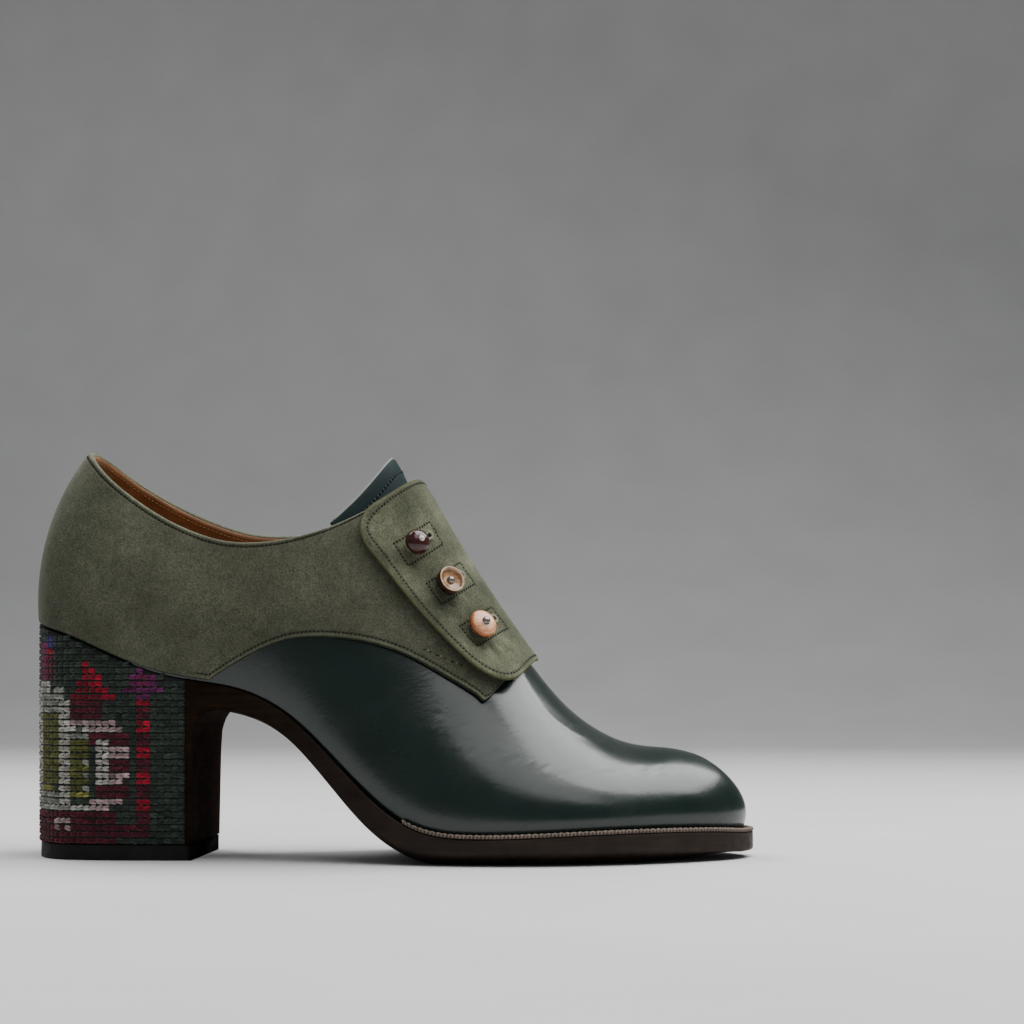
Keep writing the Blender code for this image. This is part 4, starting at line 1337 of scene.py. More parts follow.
def flap_outline(inset=0.0):
    """Pattern points round the flap's free edges, from the inner side over the top and down."""
    columns = np.concatenate(flap_corners())
    outer = np.stack([flap_place(columns, flap_reach(columns)), flap_reach(columns)], -1)[1:-1]
    across = np.linspace(-FLAP_INNER_WIDTH, flap_reach(np.array(0.0)), 60)
    top = np.stack([flap_place(0.0, across), across], -1)
    across = np.linspace(flap_reach(np.array(FLAP_LENGTH)), -FLAP_INNER_WIDTH, 60)
    foot = np.stack([flap_place(FLAP_LENGTH, across), across], -1)
    line = np.concatenate([top, outer, foot])
    line = resample(line, FLAP_OUTLINE_STEP)[0]
    along = unit(np.gradient(line, axis=0))
    return line + inset * np.stack([along[:, 1], -along[:, 0]], -1)


def flap_lift(across, edge):
    """Rise of the flap's free edge off the quarter, at a distance from that edge."""
    near = 1 - smooth_step(edge, 0.0, FLAP_LIFT_SPAN)
    return FLAP_LIFT * near * smooth_step(across, *FLAP_LIFT_FROM)


def flap_seam(along, across):
    """Distance of the flap's edge seam from the edge; it runs wider round the top corner."""
    down = along + FLAP_LEAN * across ** 2
    swell = FLAP_SEAM_SWELL * bell(down - FLAP_SEAM_SWELL_AT, FLAP_SEAM_SWELL_SPAN)
    return FLAP_SEAM + swell * smooth_step(across, *FLAP_SEAM_SWELL_FROM)


def flap_line(inset, offset):
    """Curve and normals along the flap's free edges, at an inset from them."""
    line = flap_outline(np.reshape(inset, (-1, 1)))
    lift = flap_lift(line[:, 1], inset)
    return (pattern_point(line[:, 0], line[:, 1], offset + lift),
            pattern_normal(line[:, 0], line[:, 1]))


class FlapFold(NamedTuple):
    """Soft fold in the flap from one point to another, in metres from a button; minus is raised."""
    button: int
    x: float
    y: float
    end_x: float
    end_y: float
    width: float
    depth: float


FLAP_FOLDS = (
    FlapFold(2, -0.0052, 0.0020, -0.0046, 0.0072, 0.0008, 0.00030),
    FlapFold(2, -0.0046, 0.0072, 0.0030, 0.0078, 0.0008, 0.00030),
    FlapFold(2, -0.0020, 0.0060, -0.0048, 0.0110, 0.0010, -0.00034),
    FlapFold(2, 0.0010, 0.0062, 0.0008, 0.0120, 0.0012, -0.00030),
    FlapFold(2, -0.0010, 0.0070, -0.0016, 0.0125, 0.0009, 0.00026),
    FlapFold(1, -0.0048, 0.0040, -0.0020, 0.0085, 0.0010, 0.00024),
    FlapFold(1, 0.0020, 0.0052, 0.0040, 0.0100, 0.0012, -0.00024),
    FlapFold(0, -0.0050, 0.0030, -0.0040, 0.0080, 0.0011, 0.00024),
    FlapFold(0, 0.0046, -0.0030, 0.0080, -0.0046, 0.0009, -0.00022),
)


def hole_place(row, x, y):
    """Pattern point from a button, x towards the ridge and y down the flap."""
    across = row.across - x
    return leaned(row.along + y, across), across


def from_button(row, along, across):
    """x towards the ridge and y down the flap of pattern points, from a button."""
    return row.across - across, along - leaned(row.along, across)


def flap_edge(along, across):
    """Distance of pattern points from the flap's free edges."""
    outline = resample(flap_outline(), FLAP_EDGE_SAMPLE)[0]
    tree = KDTree(len(outline))
    for k, (a, c) in enumerate(outline):
        tree.insert((a, c, 0.0), k)
    tree.balance()
    flat = np.stack([along, across], -1).reshape(-1, 2)
    return np.array([tree.find((a, c, 0.0))[2] for a, c in flat]).reshape(along.shape)


def frame_distance(row, along, across):
    """Signed distance of pattern points from the stitched frame round a buttonhole."""
    x, y = from_button(row, along, across)
    over_x = np.abs(x - sum(FRAME_X) / 2) - (FRAME_X[1] - FRAME_X[0]) / 2
    over_y = np.abs(y - sum(FRAME_Y) / 2) - (FRAME_Y[1] - FRAME_Y[0]) / 2
    outside = np.hypot(np.maximum(over_x, 0), np.maximum(over_y, 0))
    return outside + np.minimum(np.maximum(over_x, over_y), 0)


def keyhole_distance(row, along, across):
    """Distance of pattern points from a buttonhole's middle line, less its half width."""
    x, y = from_button(row, along, across)
    beyond = x - np.clip(x, KEYHOLE_START, KEYHOLE_END)
    slit = np.hypot(beyond, y) - KEYHOLE_HALF
    return np.minimum(slit, np.hypot(x - KEYHOLE_END, y) - EYELET_RADIUS)


def segment_distance(x, y, start, stop):
    """Distance from a segment in a plane, and how far along it the nearest point lies."""
    way = np.subtract(stop, start)
    f = np.clip(((x - start[0]) * way[0] + (y - start[1]) * way[1]) / (way @ way), 0, 1)
    return np.hypot(x - start[0] - f * way[0], y - start[1] - f * way[1]), f


def flap_relief(along, across, edge):
    """Drop of the flap's face below FLAP_OUTSIDE, and its tint, which holds painted shade and highlight.
    """
    inset = flap_seam(along, across)
    seam = bell(edge - inset, FLAP_GROOVE.width)
    drop = (FLAP_ROUND.depth * bell(edge, FLAP_ROUND.width) + FLAP_GROOVE.depth * seam
            - flap_lift(across, edge))
    band = smooth_step(edge, *EDGE_BAND) * (1 - smooth_step(edge, inset - EDGE_BAND_FADE, inset))
    # Painted highlight along the flap's edge
    wear_and_highlight = bell(edge - FLAP_PAINTED_HIGHLIGHT.inset, FLAP_PAINTED_HIGHLIGHT.width)
    # Painted shade in the edge seam groove; the band inside the edge is darker
    tint = 1 - FLAP_GROOVE.shade * seam - EDGE_BAND_SHADE * band + FLAP_PAINTED_HIGHLIGHT.shade * wear_and_highlight
    for row in BUTTONS:
        frame_seam = bell(frame_distance(row, along, across), FRAME_GROOVE.width)
        lip = bell(keyhole_distance(row, along, across) - HOLE_LIP_AT, HOLE_LIP.width)
        pressed = bell(np.hypot(*from_button(row, along, across)), BUTTON_DENT.width)
        drop = drop + FRAME_GROOVE.depth * frame_seam + HOLE_LIP.depth * lip
        drop = drop + BUTTON_DENT.depth * pressed
        # Painted shade in the frame grooves and round each button
        tint = tint * (1 - FRAME_GROOVE.shade * frame_seam) * (1 - BUTTON_DENT.shade * pressed)
    for fold in FLAP_FOLDS:
        place = from_button(BUTTONS[fold.button], along, across)
        d, f = segment_distance(*place, (fold.x, fold.y), (fold.end_x, fold.end_y))
        dent = bell(d, fold.width) * (FOLD_ENDS + FOLD_MIDDLE * f * (1 - f))
        drop = drop + fold.depth * dent
        # Painted shade in a dented fold, painted highlight on a raised one
        tint = tint * (1 - FOLD_PAINTED_SHADE * fold.depth * dent)
    return drop, tint


def flap_offset(along, across):
    """Height of the flap's face above the last at pattern points."""
    return FLAP_OUTSIDE - flap_relief(along, across, flap_edge(along, across))[0]


def build_flap():
    top, foot = flap_corners()
    middle = np.linspace(top[-1], foot[0], int((foot[0] - top[-1]) / FLAP_GRAIN))[1:-1]
    columns = np.concatenate([top, middle, foot])
    near = [flap_reach(columns) - d for d in FLAP_EDGE_STEPS]
    rows = int((FLAP_TOP_WIDTH + FLAP_INNER_WIDTH) / FLAP_GRAIN / FLAP_GRAIN_STRETCH)
    rest = [near[-1] + f * (-FLAP_INNER_WIDTH - near[-1]) for f in np.linspace(0, 1, rows)[1:]]
    across = np.stack(near + rest)
    along = flap_place(np.broadcast_to(columns, across.shape), across)
    edge = flap_edge(along, across)
    drop, tint = flap_relief(along, across, edge)
    outer = pattern_point(along, across, FLAP_OUTSIDE - drop)
    inner = pattern_point(along, across, FLAP_INSIDE + flap_lift(across, edge))
    # The flap's underside is painted dark as shade
    tint = np.concatenate([tint.ravel(), np.full(tint.size, FLAP_BACK_PAINTED_SHADE)])
    flap = add_piece("button_flap_suede", shell(outer, inner), FLAP_SUEDE,
                     "button_flap", shade(tint))
    cut_keyholes(flap)


def keyhole_outline(grow=0.0):
    """Points round a slit with an eyelet at its ridge end, as x towards the ridge and y."""
    half, eyelet = KEYHOLE_HALF + grow, EYELET_RADIUS + grow
    open_angle = math.asin(half / eyelet)
    eye = np.linspace(math.pi - open_angle, open_angle - math.pi, 25)
    round_end = np.stack([KEYHOLE_END + eyelet * np.cos(eye), eyelet * np.sin(eye)], -1)
    back = np.linspace(-0.5, -1.5, 9) * math.pi
    tail = np.stack([KEYHOLE_START + half * np.cos(back), half * np.sin(back)], -1)
    return np.concatenate([round_end, tail, round_end[:1]])


def cut_keyholes(flap):
    """Cut the three buttonholes right through the flap."""
    outline = keyhole_outline()[:-1]
    parts = []
    for row in BUTTONS:
        along, across = hole_place(row, outline[:, 0], outline[:, 1])
        parts.append(loft([pattern_point(along, across, lift)
                           for lift in (FLAP_INSIDE - CUT_BELOW, FLAP_OUTSIDE + CUT_ABOVE)]))
    cutter = add_object("keyholes", welded_mesh("keyholes", joined(*parts)))
    cut = flap.modifiers.new("keyholes", "BOOLEAN")
    cut.operation = "DIFFERENCE"
    cut.object = cutter
    bpy.context.view_layer.update()
    opened = flap.evaluated_get(bpy.context.evaluated_depsgraph_get())
    data = bpy.data.meshes.new_from_object(opened)
    flap.modifiers.clear()
    flap.data = data
    bpy.data.objects.remove(cutter, do_unlink=True)


def local_line(row, outline, lift):
    """Curve and normals of an outline given as x towards the ridge and y from a button."""
    along, across = hole_place(row, outline[:, 0], outline[:, 1])
    return (pattern_point(along, across, flap_offset(along, across) + lift),
            pattern_normal(along, across))


def frame_outline():
    """Points round the stitched frame of a buttonhole, from its button."""
    (left, right), (top, foot) = FRAME_X, FRAME_Y
    corners = np.array([(left, top), (right, top), (right, foot), (left, foot), (left, top)])
    return resample(corners, FRAME_STEP)[0]


def build_flap_seams():
    inset = flap_seam(*flap_outline().T)
    rows = [ticks(*flap_line(inset, FLAP_OUTSIDE - FLAP_GROOVE.depth))]
    across = np.full(200, -FLAP_INNER_WIDTH + INNER_SEAM_INSET)
    along = leaned(np.linspace(INNER_SEAM_ENDS, FLAP_LENGTH - INNER_SEAM_ENDS, 200), across)
    rows.append(ticks(pattern_point(along, across, FLAP_OUTSIDE - INNER_SEAM_SINK),
                      pattern_normal(along, across)))
    rows += [ticks(*local_line(row, frame_outline(), FRAME_STITCH_LIFT)) for row in BUTTONS]
    add_piece("flap_stitches", joined(*rows), DARK_THREAD)
    curve, normals = flap_line(-BEAD_OUT, FLAP_INSIDE + BEAD_HEIGHT)
    curve, normals = resample(curve, BEAD.pitch, normals)
    _, side, out = frames_along(curve, normals)
    bead = sewn(curve, out, -side, BEAD.length, BEAD.radius)
    add_piece("flap_bead", bead, EDGE_THREAD)
    overcast = [stitches(*local_line(row, keyhole_outline(OVERCAST_OUT), OVERCAST_LIFT), OVERCAST,
                         math.pi / 2) for row in BUTTONS]
    add_piece("buttonhole_stitches", joined(*overcast), PALE_THREAD)


# Tongue

TONGUE_OUTSIDE = -UPPER_WALL - 3 * GAP
TONGUE_STEPS = np.concatenate([np.array([0.0, 0.4, 0.8, 1.3, 1.8]) / 1000,
                               np.linspace(0.0025, TONGUE_ABOVE + TONGUE_BELOW, 36)])
TONGUE_ROUND = Press(0.0004, 0.0004, 0.0)
TONGUE_GROOVE = Press(0.0006, 0.00018, 0.0)
TONGUE_SEAM = 0.0053
TONGUE_SEAM_SINK = 0.00012
TONGUE_LINE_END = 0.97
TONGUE_FLARE = 0.0014
TONGUE_FLARE_SPAN = 0.015
TONGUE_SEWING = Sewing(0.0018, 0.0014, 0.00036)
TONGUE_THREADS = Sewing(0.0018, 0.0010, 0.00028)
RAW_EDGE_RADIUS = 0.00042
RAW_EDGE_STEP = 0.0005


def tongue_grid(shares, below):
    """Pattern points of the tongue at shares of its half width and distances below its top."""
    share = np.asarray(shares)[:, None]
    across = np.broadcast_to(share * TONGUE_HALF_WIDTH, (len(shares), len(below)))
    top = leaned(TONGUE_DROP * np.abs(share) - TONGUE_ABOVE - TONGUE_RISE, across)
    return top + np.asarray(below)[None], across


def tongue_face(below):
    """Height of the tongue's face above the last at a distance below its top edge."""
    return TONGUE_OUTSIDE + TONGUE_FLARE * (1 - smooth_step(below, 0.0, TONGUE_FLARE_SPAN))


def tongue_line(below, sink):
    """Curve and normals across the tongue at a distance below its top edge."""
    shares = np.linspace(-TONGUE_LINE_END, TONGUE_LINE_END, 300)
    along, across = (grid[:, 0] for grid in tongue_grid(shares, [below]))
    return pattern_point(along, across, tongue_face(below) - sink), pattern_normal(along, across)


def build_tongue():
    along, across = tongue_grid(np.linspace(-1.0, 1.0, 120), TONGUE_STEPS)
    below = np.broadcast_to(TONGUE_STEPS, along.shape)
    edge = TONGUE_ROUND.depth * bell(below, TONGUE_ROUND.width)
    groove = TONGUE_GROOVE.depth * bell(below - TONGUE_SEAM, TONGUE_GROOVE.width)
    face = tongue_face(below)
    outer = pattern_point(along, across, face - (edge + groove))
    inner = pattern_point(along, across, face - TONGUE_WALL + edge)
    add_piece("tongue_leather", shell(outer, inner), TONGUE_LEATHER, "tongue", WHITE)
    curve, normals = tongue_line(TONGUE_SEAM, TONGUE_SEAM_SINK)
    curve, normals = resample(curve, TONGUE_SEWING.pitch / 2, normals)
    tangent, side, out = frames_along(curve, normals)
    run = math.cos(TICK_TURN) * tangent + math.sin(TICK_TURN) * side
    for first, name, sewing, thread in ((0, "tongue_stitches", TONGUE_SEWING, TEAL_THREAD),
                                        (1, "tongue_threads", TONGUE_THREADS, PALE_TEAL_THREAD)):
        mesh = sewn(curve[first::2], run[first::2], out[first::2], sewing.length, sewing.radius)
        add_piece(name, mesh, thread)
    raw_edge = tube(*tongue_line(0.0, 0.5 * TONGUE_WALL), RAW_EDGE_RADIUS, RAW_EDGE_STEP)
    add_piece("tongue_raw_edge", raw_edge, RAW_EDGE)


# Sole

CORNER_STEPS = 4
CORNER_LIMIT = 0.45


def corner_share(way, radius):
    """Share of a section's side that the rounding of its corner takes up."""
    return min(radius / (np.linalg.norm(way) + 1e-9), CORNER_LIMIT)


def rounded_ring(corners, radii, spans):
    """Closed section through corners, each rounded by its radius, with points along each span."""
    ring = []
    count = len(corners)
    for k, corner in enumerate(corners):
        following = (k + 1) % count
        before = corners[k - 1] - corner
        after = corners[following] - corner
        start = corner + before * corner_share(before, radii[k])
        stop = corner + after * corner_share(after, radii[k])
        for f in np.linspace(0, 1, CORNER_STEPS):
            ring.append((1 - f) ** 2 * start + 2 * f * (1 - f) * corner + f * f * stop)
        end = corners[following] - after * corner_share(after, radii[following])
        for f in np.linspace(0, 1, spans[k] + 2)[1:-1]:
            ring.append(stop + f * (end - stop))
    return np.array(ring)


SOLE_RADII = (0.0004, 0.0004, 0.0011, 0.0020, 0.0020, 0.0011)
SOLE_SPANS = (6, 2, 1, 8, 1, 2)
BEND_RADII = (0.0002, 0.0002, 0.0002, 0.0005, 0.0005, 0.0002)
BEND_BLEND = 0.45
BEND_INSET = 0.0050
BEND_SIDE = (0.88, 0.50)
# Painted shade on the breast bend and the lift's front face; there the gloss is turned off too
BEND_PAINTED_SHADE = 0.70
BEND_PAINTED_SHADE_FROM = 0.6


def sole_section(u):
    """Section of the outsole ahead of the bend."""
    side, drop, overhang, inset = sole_at(u)
    top = [rim_point(place, overhang, -GAP) for place in both_sides(u)]
    flat = [rim_point(place, overhang - inset, -GAP - side - drop) for place in both_sides(u)]
    for point in flat:
        point[2] = max(0.0, point[2])
    low = side * UP
    return rounded_ring([top[0], top[1], top[1] - low, flat[1], flat[0], top[0] - low],
                        SOLE_RADII, SOLE_SPANS)


def heel_width(height_share):
    """Width of the heel beside its width at the seat."""
    return HEEL_TAPER + (1 - HEEL_TAPER) * height_share


def heel_edge(u, z):
    """Point of the heel's covered side above u at height z; the heel narrows downwards."""
    u, z = np.broadcast_arrays(np.asarray(u, float), np.asarray(z, float))
    rim = rim_point(u, QUARTER_OUTSIDE)
    share = np.clip((z - LIFT_HEIGHT) / (rim[..., 2] - LIFT_HEIGHT), 0, 1)
    back = HEEL_BACK_INSET * (1 - share) * np.clip(1 - rim[..., 0] / HEEL_FRONT, 0, 1)
    return np.stack([rim[..., 0] + back, rim[..., 1] * heel_width(share), z], -1)


def station_at(x):
    """u of the outer feather line at x, between heel side and waist."""
    return station_where(lambda u: feather(u)[0] > x, *SHANK)


HEEL_CORNER = station_at(HEEL_FRONT)


def bend_rows(count):
    """Rows of the breast bend drawn out to a smooth run of sections."""
    fall = seat_height(HEEL_FRONT) - GAP - LIFT_HEIGHT - GAP
    foot = BendRow(0.0, fall, LIFT_FRONT - HEEL_FRONT - GAP, fall)
    rows = np.array(BREAST_BEND + (foot,))
    slopes = 0.5 * np.gradient(rows, axis=0)
    out = []
    for at in np.linspace(0, len(rows) - 1, count):
        i = min(int(at), len(rows) - 2)
        row = cubic(rows[i], rows[i + 1], slopes[i], slopes[i + 1], at - i)
        out.append(BendRow(*np.maximum(row, 0.0)))
    return out


def build_outsole():
    corner = seat_height(HEEL_FRONT) - GAP
    start = station_at(HEEL_FRONT + BEND_LENGTH)
    sections = [sole_section(u) for u in np.linspace(TOE, start, 150)]
    count = len(sections)
    # Painted shade: the sole darkens towards the breast bend
    dark = list(1 - (1 - BEND_PAINTED_SHADE) * smooth_step(np.arange(count), BEND_PAINTED_SHADE_FROM * count, count))
    front = HEEL_FRONT + GAP
    bends = bend_rows(40)
    for k, bend in enumerate(bends):
        turned = smooth_step(k / len(bends), 0.0, BEND_BLEND)
        inner_z = seat_height(front + bend.ahead) - GAP - bend.under
        outer_z = corner - bend.fall
        rims = []
        for place, waist in zip(both_sides(HEEL_CORNER), both_sides(start)):
            near = np.array([front + bend.ahead, heel_edge(place, inner_z)[1], inner_z])
            far = np.array([front + bend.reach, heel_edge(place, outer_z)[1], outer_z])
            for point in (near, far):
                point[1] += (1 - turned) * (rim_point(waist, sole_at(start)[2])[1] - point[1])
            middle = near + (BEND_SIDE[0] + turned * (BEND_SIDE[1] - BEND_SIDE[0])) * (far - near)
            far[1] -= np.sign(far[1]) * (1 - turned) * BEND_INSET
            rims.append((near, middle, far))
        (outer_in, outer_mid, outer_out), (inner_in, inner_mid, inner_out) = rims
        radii = (1 - turned) * np.array(SOLE_RADII) + turned * np.array(BEND_RADII)
        corners = [outer_in, inner_in, inner_mid, inner_out, outer_out, outer_mid]
        sections.append(rounded_ring(corners, radii, SOLE_SPANS))
        dark.append(BEND_PAINTED_SHADE)
    tint = shade(np.repeat(dark, len(sections[0])))
    add_piece("outsole_leather", loft(sections), SOLE_EDGE, "outsole", tint)


RIB_PITCH = 0.00125
RIB_HEIGHT = 0.00016
WELT_LIFT = 0.00002
WELT_FOOT_ROUND = 0.0002
WELT_ROUND = 0.0003
# Painted shade on the welt's foot and top faces; painted light on the rib crests and painted shade
# between them
WELT_PAINTED_SHADES = (0.3, 0.72, 0.4)
RIB_PAINTED_LIGHT = 0.48
WELT_SEAM = 0.0011
WELT_SEWING = Sewing(0.0021, 0.0017, 0.00026)
INSOLE_RADII = (0.0014, 0.0014, 0.0003, 0.0003)
INSOLE_SPANS = (12, 0, 4, 0)


def build_welt():
    around = round_toe(np.linspace(WELT_START, TOE, 900))
    overhang = sole_at(around)[:, 2]
    flare, rise = wall(around)[:, 0], wall(around)[:, 1]
    near = GAP + WELT_WALL * flare / rise
    wave = np.cos(2 * math.pi * walked(rim_point(around, overhang)) / RIB_PITCH)
    rib = RIB_HEIGHT * wave
    corners = ((near, WELT_LIFT), (overhang - WELT_FOOT_ROUND + rib, WELT_LIFT),
               (overhang + rib, WELT_ROUND), (overhang + rib, WELT_WALL - WELT_ROUND),
               (overhang - WELT_ROUND + rib, WELT_WALL + 0.5 * rib), (near, WELT_WALL))
    sections = np.stack([rim_point(around, reach, lift) for reach, lift in corners], 1)
    # Painted shade on the foot and top faces; the ribs get painted light on their crests and painted
    # shade between
    foot, edge, top = WELT_PAINTED_SHADES
    tint = np.stack([np.full(wave.shape, foot)] + [edge + RIB_PAINTED_LIGHT * wave] * 4
                    + [np.full(wave.shape, top)], 1)
    add_piece("welt_strip", loft(sections), WELT_LEATHER, "welt", shade(tint))
    seam = rim_point(around, overhang - WELT_SEAM, WELT_WALL)
    mesh = stitches(seam, np.broadcast_to(UP, seam.shape), WELT_SEWING)
    add_piece("welt_stitches", mesh, WELT_THREAD)


def build_insole():
    inset = UPPER_WALL + 2 * GAP
    up = INSOLE_WALL * UP
    sections = []
    for u in np.linspace(0.0, TOE, 170):
        outer, inner = (rim_point(place, -inset) for place in both_sides(u))
        sections.append(rounded_ring([outer + up, inner + up, inner, outer], INSOLE_RADII,
                                     INSOLE_SPANS))
    add_piece("insole_sock", loft(sections), LINING, "insole")


# Heel

LIFT_RADII = (0.0004, 0.0004, 0.0006, 0.0006)
LIFT_SPANS = (6, 2, 6, 2)
CLOTH_INSET = 0.0007
CLOTH_TINT = (0.012, 0.017, 0.015, 1.0)


def build_lift():
    rims = [[heel_edge(place, LIFT_HEIGHT) - LIFT_INSET * plan_normal(np.array(place))
             for place in both_sides(u)] for u in np.linspace(0.0, HEEL_CORNER, 60)]
    shift = np.array([LIFT_FRONT - HEEL_FRONT - GAP, 0, 0])
    rims.append([rim + shift for rim in rims[-1]])
    down = LIFT_HEIGHT * UP
    rings = [rounded_ring([outer, inner, inner - down, outer - down], LIFT_RADII, LIFT_SPANS)
             for outer, inner in rims]
    # Painted shade on the lift's front face
    dark = [1.0] * (len(rings) - 1) + [BEND_PAINTED_SHADE]
    add_piece("heel_lift_rubber", loft(rings), LIFT_RUBBER, "heel_top_lift",
              shade(np.repeat(dark, len(rings[0]))))


def build_heel_cloth():
    rings = []
    foot = LIFT_HEIGHT + GAP
    for u in np.linspace(0.0, HEEL_CORNER, 70):
        sides = []
        for place in both_sides(u):
            seat = rim_point(place, QUARTER_OUTSIDE, -GAP)[2]
            levels = foot + np.linspace(0, 1, 20) * (seat - foot)
            sides.append(heel_edge(place, levels) - CLOTH_INSET * plan_normal(np.array(place)))
        outer, inner = sides
        rings.append(np.concatenate([outer, inner[::-1]]))
    add_piece("heel_cloth", loft(rings), YARN, "heel_block", CLOTH_TINT)


YARN_COLUMNS = 31
YARN_PITCH = 0.00218
YARN_FOOT = 0.00645
YARN_LENGTH = 0.00275
YARN_RADIUS = 0.00050
YARN_PLY = 0.00040
YARN_FLAT = 1.15
YARN_SLANT = 9.0
YARN_TWIST = 6.0
YARN_SINK = 0.00060
YARN_ROWS = 40
YARN_TOP_ROOM = 0.0006
YARN_SEED = 41
SLANT_SPREAD = 4.0
HEIGHT_SPREAD = 0.00008
DEPTH_SPREAD = 0.00007
DYE_SPREAD = 0.18
LENGTH_SPREAD = 0.06
CHART_HEIGHT = 0.035

GROUND = (0.025, 0.036, 0.027)
RED = (0.270, 0.004, 0.020)
DEEP_RED = (0.125, 0.004, 0.013)
BURGUNDY = (0.072, 0.007, 0.016)
PINK = (0.340, 0.250, 0.245)
CREAM = (0.345, 0.335, 0.300)
GREY = (0.190, 0.195, 0.175)
OLIVE = (0.088, 0.092, 0.022)
LIME = (0.190, 0.190, 0.045)
PURPLE = (0.105, 0.012, 0.075)
BLUE = (0.040, 0.030, 0.150)
MAGENTA = (0.150, 0.014, 0.065)


class Patch(NamedTuple):
    """Colour of a block of heel stitches; columns count back from the breast, rows up."""
    colour: tuple
    column: int
    last_column: int
    row: int
    last_row: int


# Stepped carpet motif of the heel, charted; later patches lie over earlier ones
CHART = (
    Patch(BURGUNDY, 5, 6, 3, 20), *(Patch(RED, 5, 6, row, row + 1) for row in (5, 9, 13, 17)),
    Patch(RED, 5, 6, 21, 21),
    Patch(PURPLE, 5, 6, 22, 22), Patch(PURPLE, 3, 8, 23, 23), Patch(PURPLE, 4, 7, 24, 25),
    Patch(PURPLE, 5, 6, 26, 26), Patch(MAGENTA, 5, 6, 24, 25), Patch(BURGUNDY, 12, 17, 19, 21),
    Patch(DEEP_RED, 10, 16, 22, 22), Patch(DEEP_RED, 11, 15, 23, 23), Patch(DEEP_RED, 12, 15, 24, 24),
    Patch(DEEP_RED, 12, 14, 25, 25), Patch(RED, 13, 14, 26, 26), Patch(RED, 14, 14, 27, 27),
    Patch(RED, 12, 13, 24, 25), Patch(RED, 11, 12, 23, 23), Patch(RED, 10, 11, 22, 22),
    Patch(PINK, 10, 17, 18, 18), Patch(PINK, 9, 13, 17, 17),
    Patch(CREAM, 14, 17, 17, 17), Patch(GREY, 14, 17, 16, 16), Patch(BURGUNDY, 8, 13, 15, 16),
    Patch(PINK, 8, 11, 13, 14), Patch(BURGUNDY, 8, 10, 11, 12), Patch(PINK, 8, 10, 10, 10),
    Patch(PINK, 9, 12, 9, 9), Patch(BURGUNDY, 8, 12, 7, 8), Patch(PINK, 9, 13, 6, 6),
    Patch(PINK, 11, 13, 5, 5), Patch(CREAM, 11, 12, 9, 15), Patch(OLIVE, 14, 16, 8, 15),
    *(Patch(GREY, 14, 14, row, row) for row in (8, 10, 12)),
    Patch(LIME, 14, 16, 7, 7), Patch(OLIVE, 19, 23, 9, 19), Patch(LIME, 20, 23, 8, 8),
    Patch(GREY, 19, 23, 6, 7), Patch(GREY, 19, 23, 20, 22), Patch(CREAM, 17, 18, 6, 21),
    Patch(CREAM, 18, 19, 22, 23), Patch(CREAM, 21, 23, 23, 24), Patch(CREAM, 14, 24, 5, 5),
    Patch(BURGUNDY, 10, 30, 0, 4), Patch(BURGUNDY, 5, 9, 1, 2), Patch(PINK, 17, 19, 3, 3),
    Patch(PINK, 17, 17, 2, 2), Patch(PINK, 19, 19, 2, 2), Patch(MAGENTA, 22, 24, 25, 30),
    Patch(BURGUNDY, 20, 21, 25, 28), Patch(RED, 20, 21, 29, 29), Patch(BLUE, 20, 21, 30, 31),
    Patch(CREAM, 24, 25, 5, 24), Patch(OLIVE, 26, 30, 8, 19), Patch(LIME, 27, 30, 12, 15),
    Patch(CREAM, 26, 30, 20, 20), Patch(BURGUNDY, 26, 30, 21, 23), Patch(RED, 28, 30, 24, 26),
    Patch(PINK, 26, 30, 6, 6),
)


def yarn_colour(column, row):
    """Colour of a stitch: the last patch that covers it, or the ground."""
    colour = GROUND
    for patch in CHART:
        if patch.column <= column <= patch.last_column and patch.row <= row <= patch.last_row:
            colour = patch.colour
    return colour


def build_heel_stitches():
    chance = np.random.default_rng(YARN_SEED)
    line = np.linspace(0.0, HEEL_CORNER, 800)
    lengths = walked(heel_edge(line, CHART_HEIGHT))
    shares = 1 - (np.arange(YARN_COLUMNS) + 0.5) / YARN_COLUMNS
    spots = []
    for column, place in enumerate(np.interp(shares * lengths[-1], lengths, line)):
        seat = rim_point(place, QUARTER_OUTSIDE)[2]
        for row in range(YARN_ROWS):
            height = YARN_FOOT + row * YARN_PITCH
            if height < seat - YARN_TOP_ROOM:
                spots.append((place, height, row, yarn_colour(column, row)))
    at, run, out, tint = [], [], [], []
    for side in (1, -1):
        for place, height, row, colour in spots:
            u = place if side == 1 else ROUND - place
            normal = plan_normal(np.array(u))
            level = np.array([-normal[1], normal[0], 0.0])
            slant = YARN_SLANT * (1 if row % 2 else -1) + chance.normal(0, SLANT_SPREAD)
            middle = heel_edge(u, height + chance.normal(0, HEIGHT_SPREAD)) - YARN_SINK * normal
            dye = np.array([*colour, 1.0]) * (1 + chance.normal(0, DYE_SPREAD))
            for ply in (-1, 1):
                angle = math.radians(slant + ply * YARN_TWIST)
                at.append(middle + ply * YARN_PLY * UP + chance.normal(0, DEPTH_SPREAD) * normal)
                run.append(math.cos(angle) * level + side * math.sin(angle) * UP)
                out.append(normal)
                tint.append(dye * (1 + chance.normal(0, DYE_SPREAD)))
    length = YARN_LENGTH * (1 + chance.normal(0, LENGTH_SPREAD, len(at)))
    mesh = sewn(np.array(at), np.array(run), np.array(out), length, YARN_RADIUS, YARN_FLAT,
                YARN_STEPS, YARN_SIDES)
    shades = np.repeat(np.clip(np.array(tint), 0, 1), len(YARN_STEPS) * YARN_SIDES, axis=0)
    shades[:, 3] = 1.0
    add_piece("heel_stitches", mesh, YARN, None, shades)


# Buttons

